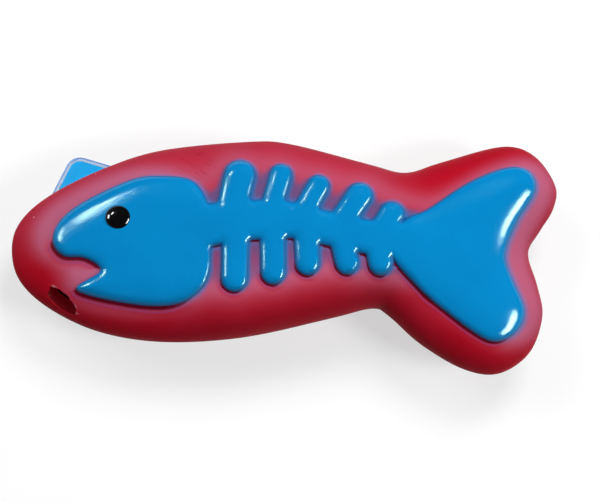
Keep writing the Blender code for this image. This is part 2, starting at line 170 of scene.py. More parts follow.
def copied_node(node: str, name: str) -> Piece:
    """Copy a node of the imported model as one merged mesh.

    Args:
        node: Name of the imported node.
        name: Name of the new piece.

    Returns:
        The new piece, without materials.
    """
    piece = bpy.data.objects.new(name, frame["nodes"][node].data.copy())
    bpy.context.scene.collection.objects.link(piece)
    piece.data.materials.clear()
    with editing(piece):
        bpy.ops.mesh.remove_doubles(threshold=MERGE)
    if piece.data.has_custom_normals:
        bpy.ops.mesh.customdata_custom_splitnormals_clear()
    return piece


def apply_modifier(piece: Piece, kind: str, **settings: object) -> None:
    """Add a modifier, set it and apply it.

    Args:
        piece: Object that the modifier acts on.
        kind: Blender's modifier type.
        settings: Values of the modifier.
    """
    activate(piece)
    modifier = piece.modifiers.new(kind.title(), kind)
    for key, value in settings.items():
        setattr(modifier, key, value)
    bpy.ops.object.modifier_apply(modifier=modifier.name)


def read_points(piece: Piece) -> np.ndarray:
    """Return a piece's vertex positions as rows of x, y and z."""
    points = np.empty(len(piece.data.vertices) * 3)
    piece.data.vertices.foreach_get("co", points)
    return points.reshape(-1, 3)


def write_points(piece: Piece, points: np.ndarray) -> None:
    """Set a piece's vertex positions from rows of x, y and z."""
    piece.data.vertices.foreach_set("co", points.ravel())
    piece.data.update()


def write_masks(piece: Piece, **masks: np.ndarray) -> None:
    """Store numbers per vertex for the materials to read.

    Args:
        piece: Object whose mesh gets the attributes.
        masks: One value per vertex, by the name of the attribute.
    """
    for name, values in masks.items():
        layer = piece.data.attributes.new(name, "FLOAT", "POINT")
        layer.data.foreach_set("value", values.astype(np.float32))


def coat(piece: Piece, material: Material) -> None:
    """Give a piece its only material."""
    piece.data.materials.clear()
    piece.data.materials.append(material)
    LOG.info("%s: %d faces in %s", piece.name, len(piece.data.polygons), material.name)


def hand_over(piece: Piece, body: str, slot: str, material: Material, *nodes: str) -> None:
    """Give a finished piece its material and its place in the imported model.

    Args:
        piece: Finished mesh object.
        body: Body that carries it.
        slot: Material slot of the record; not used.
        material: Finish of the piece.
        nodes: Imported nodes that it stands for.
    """
    coat(piece, material)
    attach(piece, body)
    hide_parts(*nodes)


# Shader helpers


def wire(tree: Tree, kind: str, sockets: dict[str | int, Source] | None = None, **settings: object) -> Node:
    """Add a shader node, set it and link it.

    Args:
        tree: Tree that gets the node.
        kind: Node type without its ShaderNode prefix.
        sockets: Input values or the outputs that feed them.
        settings: Properties of the node.

    Returns:
        The new node.
    """
    node = tree.nodes.new("ShaderNode" + kind)
    for key, value in settings.items():
        setattr(node, key, value)
    for key, value in (sockets or {}).items():
        if isinstance(value, Socket):
            tree.links.new(value, node.inputs[key])
        else:
            node.inputs[key].default_value = value
    return node


def mixed(tree: Tree, factor: Source, first: Source, second: Source) -> Socket:
    """Mix two colours.

    Args:
        tree: Tree that gets the node.
        factor: Share of the second colour.
        first: Colour at 0.
        second: Colour at 1.

    Returns:
        The mixed colour.
    """
    return wire(tree, "Mix", {0: factor, 6: first, 7: second}, data_type="RGBA").outputs[2]


def maths(tree: Tree, operation: str, first: Source, second: Source = 0.0, clamp: bool = False) -> Socket:
    """Combine two values.

    Args:
        tree: Tree that gets the node.
        operation: Blender's name of the operation.
        first: First value.
        second: Second value.
        clamp: Whether the result is held between 0 and 1.

    Returns:
        The combined value.
    """
    return wire(tree, "Math", {0: first, 1: second}, operation=operation, use_clamp=clamp).outputs[0]


def ranged(tree: Tree, value: Source, low: float, high: float,
           start: float = 0.0, end: float = 1.0) -> Socket:
    """Map a value from one range to another, held at the ends.

    Args:
        tree: Tree that gets the node.
        value: Value to map.
        low: Value that gives start.
        high: Value that gives end.
        start: Result at low.
        end: Result at high.

    Returns:
        The mapped value.
    """
    return wire(tree, "MapRange", {0: value, 1: low, 2: high, 3: start, 4: end}).outputs[0]


def masked(tree: Tree, name: str) -> Socket:
    """Return the socket of a mask stored on the mesh."""
    return wire(tree, "Attribute", attribute_name=name).outputs["Fac"]


def new_group(name: str, inputs: dict[str, float],
              outputs: tuple[str, ...]) -> tuple[Tree, Node, Node, Socket]:
    """Start a shader node group.

    Args:
        name: Name of the group.
        inputs: Named values with their defaults.
        outputs: Names of the values that it puts out.

    Returns:
        The tree, its input node, its output node and its object coordinates.
    """
    tree = bpy.data.node_groups.new(name, "ShaderNodeTree")
    for key, value in inputs.items():
        tree.interface.new_socket(key, in_out="INPUT", socket_type="NodeSocketFloat").default_value = value
    for key in outputs:
        tree.interface.new_socket(key, in_out="OUTPUT", socket_type="NodeSocketFloat")
    start = tree.nodes.new("NodeGroupInput")
    end = tree.nodes.new("NodeGroupOutput")
    return tree, start, end, wire(tree, "TexCoord").outputs["Object"]


def grain_group() -> Tree:
    """Build the moulding grain: fine pebbles for bump and slow blotches for colour.

    Returns:
        The group, which puts out Height and Blotch.
    """
    values = {"Pebbles": 2400.0, "Blotches": 60.0}
    tree, start, end, place = new_group("moulding grain", values, ("Height", "Blotch"))
    fine = wire(tree, "TexNoise", {"Vector": place, "Scale": start.outputs["Pebbles"], "Detail": 3.0})
    slow = wire(tree, "TexNoise", {"Vector": place, "Scale": start.outputs["Blotches"], "Detail": 4.0})
    tree.links.new(fine.outputs[0], end.inputs["Height"])
    tree.links.new(ranged(tree, slow.outputs[0], *NOISE_SPAN), end.inputs["Blotch"])
    return tree


def speck_group() -> Tree:
    """Build scattered specks: small dots in a share of the cells of a random grid.

    Returns:
        The group, which puts out a Mask.
    """
    values = {"Cells": 160.0, "Size": 0.06, "Share": 0.1}
    tree, start, end, place = new_group("specks", values, ("Mask",))
    cells = wire(tree, "TexVoronoi", {"Vector": place, "Scale": start.outputs["Cells"]})
    pick = wire(tree, "SeparateColor", {0: cells.outputs["Color"]}).outputs[0]
    chosen = maths(tree, "LESS_THAN", pick, start.outputs["Share"])
    dot = maths(tree, "LESS_THAN", cells.outputs["Distance"], start.outputs["Size"])
    tree.links.new(maths(tree, "MULTIPLY", chosen, dot), end.inputs["Mask"])
    return tree


def hairline_group(slant: float = math.radians(-37.0), length: float = 18.0 * MM,
                   gap: float = 1.4 * MM) -> Tree:
    """Build fine scratches that run along one slanted way.

    Args:
        slant: Turn of the scratches in plan.
        length: How far the pattern is stretched along them.
        gap: How far it is stretched across them.

    Returns:
        The group, which puts out a Mask.
    """
    tree, start, end, place = new_group("hairlines", {"Width": 0.012}, ("Mask",))
    slanted = wire(tree, "Mapping", {"Vector": place, "Rotation": (0.0, 0.0, slant),
                                     "Scale": (length, gap, length)}, vector_type="TEXTURE")
    waves = wire(tree, "TexNoise", {"Vector": slanted.outputs[0], "Scale": 1.0, "Detail": 2.0})
    level = maths(tree, "ABSOLUTE", maths(tree, "SUBTRACT", waves.outputs[0], 0.5))
    tree.links.new(maths(tree, "LESS_THAN", level, start.outputs["Width"]), end.inputs["Mask"])
    return tree


def grouped(tree: Tree, group: Tree, **values: float) -> Node:
    """Place a group in a material with its own values.

    Args:
        tree: Tree of the material.
        group: Group to place.
        values: Values of its inputs.

    Returns:
        The group's node.
    """
    node = wire(tree, "Group", node_tree=group)
    for key, value in values.items():
        node.inputs[key].default_value = value
    return node


def new_material(name: str) -> tuple[Material, Tree, Node]:
    """Start a material.

    Args:
        name: Name of the material.

    Returns:
        The material, its node tree and its Principled BSDF.
    """
    material = bpy.data.materials.new(name)
    material.use_nodes = True
    tree = material.node_tree
    return material, tree, tree.nodes["Principled BSDF"]


# Finishes


@dataclass(frozen=True)
class Sheen:
    """Roughness, bump and gloss that a finish ends with."""

    roughness: Pair
    depth: float
    strength: float
    gloss: float = 0.5
    pebbled: bool = False

    def rough(self, tree: Tree, grain: Node) -> Socket:
        """Let the roughness run over its range with the grain's blotches or pebbles.

        Args:
            tree: Tree of the material.
            grain: Placed grain.

        Returns:
            The roughness.
        """
        if self.pebbled:
            return ranged(tree, grain.outputs["Height"], *NOISE_SPAN, *self.roughness)
        return ranged(tree, grain.outputs["Blotch"], 0.0, 1.0, *self.roughness)

    def close(self, tree: Tree, shader: Node, grain: Node, colour: Socket,
              rough: Socket | None = None) -> None:
        """Feed a shader.

        Args:
            tree: Tree of the material.
            shader: Principled BSDF.
            grain: Placed grain.
            colour: Colour of the finish.
            rough: Roughness, where it isn't the grain's alone.
        """
        if rough is None:
            rough = self.rough(tree, grain)
        bump = wire(tree, "Bump", {"Height": grain.outputs["Height"], "Distance": self.depth,
                                   "Strength": self.strength})
        tree.links.new(colour, shader.inputs["Base Color"])
        tree.links.new(rough, shader.inputs["Roughness"])
        tree.links.new(bump.outputs[0], shader.inputs["Normal"])
        shader.inputs["Specular IOR Level"].default_value = self.gloss


@dataclass(frozen=True)
class VinylFinish:
    """Soft red vinyl with blue mist where the paint drifted past the relief, and painted light: a painted
    shadow band beside the relief, painted sheen and shade in its paleness, painted shade in the mist between
    the ribs, painted shade and a painted glow inside the port, and painted highlights on the port's lip.
    """

    grain: Tree
    specks: Tree
    hairlines: Tree
    deep: Colour = (0.40, 0.003, 0.013, 1.0)
    fresh: Colour = (0.43, 0.006, 0.020, 1.0)
    # pale lilac: overspray haze together with painted sheen
    overspray_and_painted_sheen: Colour = (0.455, 0.115, 0.205, 1.0)
    scratch: Colour = (0.30, 0.008, 0.030, 1.0)
    dust: Colour = (0.55, 0.30, 0.34, 1.0)
    sheen: Sheen = Sheen((0.44, 0.56), 0.06 * MM, 0.5, 0.02)
    pebble_span: Pair = (0.35, 0.65)
    mist: Colour = (0.015, 0.18, 0.45, 1.0)
    # darker mist between the ribs: overspray with painted shade
    between: Colour = (0.015, 0.088, 0.238, 1.0)
    mist_over_pebbles: Pair = (0.88, 1.03)
    # painted shadow: the dark red band of the relief's shadow on the skin
    lee: Colour = (0.11, 0.002, 0.012, 1.0)
    shadow_edge: Pair = (1.35, 0.85)
    shadow_wobble: float = 0.15
    least_lee: float = 0.05
    fringe: Colour = (0.27, 0.055, 0.19, 1.0)
    fringe_share: float = 0.6
    fringe_middle: float = 1.7
    fringe_reach: float = 0.55
    # pale torn vinyl on the lip, with a painted highlight along its ragged edge
    torn_glint: Colour = (0.52, 0.24, 0.27, 1.0)
    torn_glint_share: float = 0.6
    torn_glint_edge: Pair = (0.32, 0.12)
    torn_glint_wobble: float = 0.15
    # painted shade inside the port, and a painted red glow there standing in for light through the thin vinyl
    inside: Colour = (0.035, 0.001, 0.002, 1.0)
    inside_from: Pair = (0.08, 0.25)
    unlit: Colour = (0.0, 0.0, 0.0, 1.0)
    glow: Colour = (0.050, 0.0003, 0.0015, 1.0)

    def material(self) -> Material:
        """Return the vinyl's material."""
        material, tree, shader = new_material("red vinyl")
        grain = grouped(tree, self.grain, Pebbles=1700.0, Blotches=45.0)
        specks = grouped(tree, self.specks, Cells=170.0, Size=0.04, Share=0.25)
        hairlines = grouped(tree, self.hairlines, Width=0.006)
        colour = mixed(tree, grain.outputs["Blotch"], self.deep, self.fresh)
        # paler where overspray lies and where sheen is painted
        colour = mixed(tree, masked(tree, "overspray_and_painted_sheen"), colour, self.overspray_and_painted_sheen)
        scratched = maths(tree, "MULTIPLY", masked(tree, "scuff"), hairlines.outputs["Mask"])
        colour = mixed(tree, scratched, colour, self.scratch)
        colour = self._misted(tree, grain, colour)
        # painted shadow beside the relief
        colour = self._painted_shadow(tree, grain, colour)
        # torn vinyl and painted highlights on the port's lip
        colour = self._torn_glint(tree, grain, colour)
        colour = mixed(tree, specks.outputs["Mask"], colour, self.dust)
        # painted shade and painted glow inside the port
        inside = ranged(tree, masked(tree, "under"), *self.inside_from)
        colour = mixed(tree, inside, colour, self.inside)
        tree.links.new(mixed(tree, inside, self.unlit, self.glow), shader.inputs["Emission Color"])
        shader.inputs["Emission Strength"].default_value = 1.0
        self.sheen.close(tree, shader, grain, colour)
        return material

    def _misted(self, tree: Tree, grain: Node, colour: Socket) -> Socket:
        """Lay blue mist round the relief, and darker mist between the ribs that holds painted shade.

        Args:
            tree: Tree of the material.
            grain: Placed grain.
            colour: Colour so far.

        Returns:
            The misted colour.
        """
        patchy = ranged(tree, grain.outputs["Height"], *self.pebble_span, *self.mist_over_pebbles)
        # painted shade between the ribs, over the mist
        between = maths(tree, "MULTIPLY", masked(tree, "between"), patchy)
        colour = mixed(tree, between, colour, self.between)
        mist = maths(tree, "MULTIPLY", masked(tree, "mist"), patchy, clamp=True)
        return mixed(tree, mist, colour, self.mist)

    def _painted_shadow(self, tree: Tree, grain: Node, colour: Socket) -> Socket:
        """Lay a dark painted shadow band beside the relief, on the side away from the key light, with a
        violet fringe of mist beyond it.

        Args:
            tree: Tree of the material.
            grain: Placed grain.
            colour: Colour so far.

        Returns:
            The banded colour.
        """
        lee = masked(tree, "lee")
        gap = maths(tree, "DIVIDE", masked(tree, "past_rim"), maths(tree, "MAXIMUM", lee, self.least_lee))
        wobble = ranged(tree, grain.outputs["Blotch"], 0.0, 1.0, -self.shadow_wobble, self.shadow_wobble)
        gap = maths(tree, "ADD", gap, wobble)
        beyond = maths(tree, "ABSOLUTE", maths(tree, "SUBTRACT", gap, self.fringe_middle))
        fringe = ranged(tree, beyond, 0.0, self.fringe_reach, self.fringe_share, 0.0)
        colour = mixed(tree, maths(tree, "MULTIPLY", fringe, lee), colour, self.fringe)
        band = maths(tree, "MULTIPLY", ranged(tree, gap, *self.shadow_edge), lee)
        return mixed(tree, band, colour, self.lee)

    def _torn_glint(self, tree: Tree, grain: Node, colour: Socket) -> Socket:
        """Lay pale stretches along the port's lip: torn vinyl with a painted highlight on its ragged edge.

        Args:
            tree: Tree of the material.
            grain: Placed grain.
            colour: Colour so far.

        Returns:
            The colour with its torn lip.
        """
        wobble = ranged(tree, grain.outputs["Height"], *self.pebble_span, -self.torn_glint_wobble, self.torn_glint_wobble)
        rim = maths(tree, "ADD", maths(tree, "ABSOLUTE", masked(tree, "past_lip")), wobble)
        torn_glint = ranged(tree, rim, *self.torn_glint_edge, 0.0, self.torn_glint_share)
        return mixed(tree, maths(tree, "MULTIPLY", torn_glint, masked(tree, "torn_glint")), colour, self.torn_glint)


@dataclass(frozen=True)
class PaintFinish:
    """Glossy blue paint, sprayed on the relief, with painted shade at its rim."""

    grain: Tree
    specks: Tree
    blue: Colour = (0.001, 0.206, 0.498, 1.0)
    thin: Colour = (0.001, 0.224, 0.528, 1.0)
    speck: Colour = (0.02, 0.10, 0.24, 1.0)
    # painted shade: darker blue at the relief's rim
    rim: Colour = (0.001, 0.130, 0.370, 1.0)
    rim_roughness: float = 0.7
    glint: Colour = (0.60, 1.0, 0.80, 1.0)
    sheen: Sheen = Sheen((0.09, 0.13), 0.06 * MM, 0.8, 0.35)

    def material(self) -> Material:
        """Return the paint's material."""
        material, tree, shader = new_material("blue paint")
        grain = grouped(tree, self.grain, Pebbles=1900.0, Blotches=90.0)
        specks = grouped(tree, self.specks, Cells=220.0, Size=0.05, Share=0.2)
        colour = mixed(tree, grain.outputs["Blotch"], self.blue, self.thin)
        colour = mixed(tree, specks.outputs["Mask"], colour, self.speck)
        rim = masked(tree, "rim")
        # painted shade at the rim, which is also made matte
        colour = mixed(tree, rim, colour, self.rim)
        matte = maths(tree, "MULTIPLY", rim, self.rim_roughness)
        rough = maths(tree, "MAXIMUM", self.sheen.rough(tree, grain), matte)
        shader.inputs["Specular Tint"].default_value = self.glint
        self.sheen.close(tree, shader, grain, colour, rough)
        return material


@dataclass(frozen=True)
class EnamelFinish:
    """Black enamel of the eyes, with a little dust."""

    grain: Tree
    specks: Tree
    black: Colour = (0.0010, 0.0010, 0.0012, 1.0)
    worn: Colour = (0.0025, 0.0025, 0.0030, 1.0)
    dust: Colour = (0.03, 0.03, 0.04, 1.0)
    sheen: Sheen = Sheen((0.08, 0.12), 0.01 * MM, 0.2, 0.35)

    def material(self) -> Material:
        """Return the enamel's material."""
        material, tree, shader = new_material("black enamel")
        grain = grouped(tree, self.grain, Pebbles=1800.0, Blotches=400.0)
        specks = grouped(tree, self.specks, Cells=700.0, Size=0.08, Share=0.06)
        colour = mixed(tree, grain.outputs["Blotch"], self.black, self.worn)
        colour = mixed(tree, specks.outputs["Mask"], colour, self.dust)
        self.sheen.close(tree, shader, grain, colour)
        return material


@dataclass(frozen=True)
class MouldedFinish:
    """Plain moulded plastic with a faint grain."""

    grain: Tree
    name: str
    light: Colour
    dark: Colour
    roughness: Pair = (0.35, 0.5)
    depth: float = 0.03 * MM
    strength: float = 0.4

    def material(self) -> Material:
        """Return the plastic's material."""
        material, tree, shader = new_material(self.name)
        grain = grouped(tree, self.grain, Pebbles=1500.0, Blotches=250.0)
        colour = mixed(tree, grain.outputs["Blotch"], self.light, self.dark)
        Sheen(self.roughness, self.depth, self.strength).close(tree, shader, grain, colour)
        return material


@dataclass(frozen=True)
class PrintFinish:
    """Printed card: a plain sky-blue field over fine paper fibre."""

    grain: Tree
    field: Colour = (0.006, 0.410, 0.900, 1.0)
    faded: Colour = (0.010, 0.450, 0.940, 1.0)
    paper: Colour = (0.78, 0.78, 0.76, 1.0)
    sheen: Sheen = Sheen((0.55, 0.68), 0.01 * MM, 0.3, 0.12, pebbled=True)

    def material(self) -> Material:
        """Return the print's material."""
        material, tree, shader = new_material("tag print")
        grain = grouped(tree, self.grain, Pebbles=3200.0, Blotches=120.0)
        colour = mixed(tree, grain.outputs["Blotch"], self.field, self.faded)
        colour = mixed(tree, masked(tree, "cut_edge"), colour, self.paper)
        self.sheen.close(tree, shader, grain, colour)
        return material


@dataclass(frozen=True)
class MarginFinish:
    """Glossy margin round the print: a pale inner line and a deeper outer one."""

    grain: Tree
    inner: Colour = (0.62, 0.78, 0.98, 1.0)
    outer: Colour = (0.20, 0.36, 0.72, 1.0)
    change: Pair = (0.48, 0.60)
    wobble: float = 0.06
    sheen: Sheen = Sheen((0.18, 0.28), 0.01 * MM, 0.3, pebbled=True)

    def material(self) -> Material:
        """Return the margin's material."""
        material, tree, shader = new_material("tag margin")
        grain = grouped(tree, self.grain, Pebbles=2400.0, Blotches=300.0)
        wobble = ranged(tree, grain.outputs["Blotch"], 0.0, 1.0, -self.wobble, self.wobble)
        across = maths(tree, "ADD", masked(tree, "across"), wobble)
        colour = mixed(tree, ranged(tree, across, *self.change), self.inner, self.outer)
        self.sheen.close(tree, shader, grain, colour)
        return material


# Form of the fish


@dataclass(frozen=True)
class Outline:
    """Closed plan outline that runs anticlockwise."""

    ring: np.ndarray

    @classmethod
    def through(cls, points: np.ndarray, edges: list[tuple[int, int]]) -> "Outline":
        """Walk round the edges that hold the vertex furthest along x.

        Args:
            points: Vertex positions.
            edges: Vertex pairs along the outline.

        Returns:
            The outline through those vertices.
        """
        links: dict[int, list[int]] = {}
        for first, second in edges:
            links.setdefault(first, []).append(second)
            links.setdefault(second, []).append(first)
        start = max(links, key=lambda index: points[index, 0])
        walk, previous, here = [start], start, links[start][0]
        while here != start:
            walk.append(here)
            here, previous = next(index for index in links[here] if index != previous), here
        ring = points[walk, :2]
        onward = np.roll(ring, -1, 0)
        turn = np.sum(ring[:, 0] * onward[:, 1] - ring[:, 1] * onward[:, 0])
        return cls(ring if turn > 0.0 else ring[::-1])

    def rounded(self, steps: int) -> "Outline":
        """Draw a smooth curve through the outline's points.

        Args:
            steps: Steps of the curve between two points.

        Returns:
            The curve as an outline.
        """
        ring = self.ring
        before, after, far = np.roll(ring, 1, 0), np.roll(ring, -1, 0), np.roll(ring, -2, 0)
        spans = []
        for step in range(steps):
            share = step / steps
            spans.append(0.5 * (2.0 * ring + (after - before) * share
                                + (2.0 * before - 5.0 * ring + 4.0 * after - far) * share ** 2
                                + (3.0 * ring - before - 3.0 * after + far) * share ** 3))
        return Outline(np.stack(spans, 1).reshape(-1, 2))

    def evened(self, spacing: float, passes: int) -> "Outline":
        """Space the outline evenly and ease its corners.

        Args:
            spacing: Distance between points.
            passes: How often each point is averaged with its neighbours.

        Returns:
            The eased outline.
        """
        closed = np.vstack((self.ring, self.ring[:1]))
        run = np.concatenate(((0.0,), np.cumsum(np.hypot(*np.diff(closed, axis=0).T))))
        stops = np.linspace(0.0, run[-1], int(run[-1] / spacing), endpoint=False)
        ring = np.stack([np.interp(stops, run, closed[:, axis]) for axis in (0, 1)], 1)
        for _ in range(passes):
            ring = 0.25 * (np.roll(ring, 1, 0) + 2.0 * ring + np.roll(ring, -1, 0))
        return Outline(ring)

    def offset(self, plan: np.ndarray, least: float = 1e-9) -> tuple[np.ndarray, np.ndarray]:
        """Measure how far points lie inside the outline.

        Args:
            plan: Rows of x and y.
            least: Distance that points on the outline are given.

        Returns:
            The depth of each point, negative outside, and the unit way inward from the outline.
        """
        tree = kdtree.KDTree(len(self.ring))
        for index, (x, y) in enumerate(self.ring):
            tree.insert((x, y, 0.0), index)
        tree.balance()
        nearest = np.array([tree.find((x, y, 0.0))[1] for x, y in plan])
        count = len(self.ring)
        ahead = np.roll(self.ring, -1, 0) - self.ring
        facing = np.stack((-ahead[:, 1], ahead[:, 0]), 1) / np.hypot(ahead[:, 0], ahead[:, 1])[:, None]
        corner = facing + np.roll(facing, 1, 0)
        depth, inward = np.full(len(plan), np.inf), np.zeros((len(plan), 2))
        for shift in (-1, 0):
            first = (nearest + shift) % count
            run, gap = ahead[first], plan - self.ring[first]
            share = np.clip((gap * run).sum(1) / (run * run).sum(1), 0.0, 1.0)
            gap = gap - share[:, None] * run
            normal = np.where((share <= 0.0)[:, None], corner[first], facing[first])
            normal = np.where((share >= 1.0)[:, None], corner[(first + 1) % count], normal)
            length = np.maximum(np.hypot(gap[:, 0], gap[:, 1]), least)
            side = np.where((normal * gap).sum(1) >= 0.0, 1.0, -1.0)
            closer = length < np.abs(depth)
            depth = np.where(closer, side * length, depth)
            inward[closer] = (gap * (side / length)[:, None])[closer]
        return depth, inward


@dataclass
class PlanGrid:
    """Plan grid round an outline that holds soft fields."""

    outline: Outline
    margin: float
    cell: float = 0.5 * MM
    brink: float = 0.001

    def __post_init__(self) -> None:
        """Lay the grid and measure how far each node lies inside the outline."""
        self.low = self.outline.ring.min(0) - self.margin
        high = self.outline.ring.max(0) + self.margin
        self.count = np.ceil((high - self.low) / self.cell).astype(int)
        columns, rows = np.meshgrid(np.arange(self.count[0]), np.arange(self.count[1]), indexing="ij")
        plan = self.low + np.stack((columns.ravel(), rows.ravel()), 1) * self.cell
        self.depth = self.outline.offset(plan)[0].reshape(self.count)

    def blurred(self, field: np.ndarray, reach: float) -> np.ndarray:
        """Blur a field of the grid.

        Args:
            field: One value per node.
            reach: Standard deviation of the blur in metres.

        Returns:
            The blurred field.
        """
        waves = np.stack(np.meshgrid(*(np.fft.fftfreq(count) for count in self.count), indexing="ij"))
        damp = np.exp(-2.0 * (np.pi * reach / self.cell) ** 2 * (waves ** 2).sum(0))
        return np.fft.ifft2(np.fft.fft2(field) * damp).real

    def read(self, field: np.ndarray, plan: np.ndarray) -> np.ndarray:
        """Read a field between the nodes.

        Args:
            field: One value per node.
            plan: Rows of x and y.

        Returns:
            One value per row.
        """
        spot = np.clip((plan - self.low) / self.cell, 0.0, self.count - (1.0 + self.brink))
        base = spot.astype(int)
        part = spot - base
        result = np.zeros(len(plan))
        for right in (0, 1):
            for above in (0, 1):
                weight = np.abs(1 - right - part[:, 0]) * np.abs(1 - above - part[:, 1])
                result += weight * field[base[:, 0] + right, base[:, 1] + above]
        return result


@dataclass
class SkinForm:
    """Smooth outer form of the skin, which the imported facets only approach."""

    outline: Outline
    mid_plane: float
    flank_half: float = 15.5 * MM
    rim_round: float = 12.0 * MM
    dome_round: Pair = (17.0 * MM, 13.5 * MM)
    dome_waist: Stretch = Stretch(-16.0 * MM, 26.0 * MM, 14.0 * MM)
    dome_blur: float = 2.5 * MM
    nose_start: float = -44.0 * MM
    nose_drop: float = 2.2
    flat_half_length: float = 14.0 * MM
    taper_blend: float = 8.0 * MM
    head_taper: float = 0.082822
    tail_taper: float = 0.055
    margin: float = 8.0 * MM
    least_depth: float = 0.02 * MM
    least_reach: float = 0.1

    @classmethod
    def from_skin(cls, piece: Piece, steps: int = 5) -> "SkinForm":
        """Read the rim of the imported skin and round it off.

        Args:
            piece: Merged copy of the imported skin.
            steps: Steps of the curve between two points of the rim.

        Returns:
            The form inside that rim.
        """
        points = read_points(piece)
        mid_plane = 0.5 * (points[:, 2].min() + points[:, 2].max())
        on_rim = np.abs(points[:, 2] - mid_plane) < MERGE
        edges = [tuple(edge.vertices) for edge in piece.data.edges if on_rim[list(edge.vertices)].all()]
        return cls(Outline.through(points, edges).rounded(steps), mid_plane)

    def __post_init__(self) -> None:
        """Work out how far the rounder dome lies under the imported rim's round."""
        self.grid = PlanGrid(self.outline, self.margin)
        depth = np.maximum(self.grid.depth, self.least_depth)
        along = self.grid.low[0] + np.arange(self.grid.count[0]) * self.grid.cell
        width = blended(*self.dome_round, self.dome_waist.share(along))
        nose = self.nose_drop * np.minimum(along - self.nose_start, 0.0) ** 2 / self.flank_height(along)
        share = arched(depth, width[:, None]) / arched(depth, self.rim_round) - nose[:, None]
        self.share = self.grid.blurred(share, self.dome_blur)

    def domed(self, points: np.ndarray) -> np.ndarray:
        """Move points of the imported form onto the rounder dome.

        Args:
            points: Rows of x, y and z.

        Returns:
            The moved points.
        """
        moved = points.copy()
        rise = points[:, 2] - self.mid_plane
        moved[:, 2] = self.mid_plane + rise * self.grid.read(self.share, points[:, :2])
        return moved

    def flank_height(self, along: np.ndarray) -> np.ndarray:
        """Work out the half thickness away from the rim.

        Args:
            along: Places along x.

        Returns:
            The half thickness at each place.
        """
        beyond = np.maximum(np.abs(along) - self.flat_half_length, 0.0)
        eased = beyond ** 2 / (2.0 * self.taper_blend)
        run = np.where(beyond < self.taper_blend, eased, beyond - 0.5 * self.taper_blend)
        return self.flank_half - np.where(along < 0.0, self.head_taper, self.tail_taper) * run

    def height(self, plan: np.ndarray) -> np.ndarray:
        """Return the rise of the skin from the mid-plane at each x and y."""
        packed = self.flank_height(plan[:, 0]) * arched(self.outline.offset(plan)[0], self.rim_round)
        return packed * self.grid.read(self.share, plan)

    def settle(self, points: np.ndarray, snap: float) -> np.ndarray:
        """Bring packed points that lie near the rim's round onto it, and all points onto the dome.

        Args:
            points: Rows of x, y and z.
            snap: Distance within which a point is brought onto the rim's round.

        Returns:
            The settled points.
        """
        depth, inward = self.outline.offset(points[:, :2])
        rise = points[:, 2] - self.mid_plane
        lean = 1.0 - np.minimum(depth, self.rim_round) / self.rim_round
        reach = np.hypot(lean, rise / self.flank_height(points[:, 0]))
        near = np.abs(reach - 1.0) * self.rim_round < snap
        reach = np.maximum(reach, self.least_reach)
        inset = np.where(depth < self.rim_round, self.rim_round * (lean - lean / reach), 0.0)
        settled = points.copy()
        settled[near, :2] += (inward * inset[:, None])[near]
        settled[near, 2] = self.mid_plane + (rise / reach)[near]
        return self.domed(settled)


# Sub-assemblies


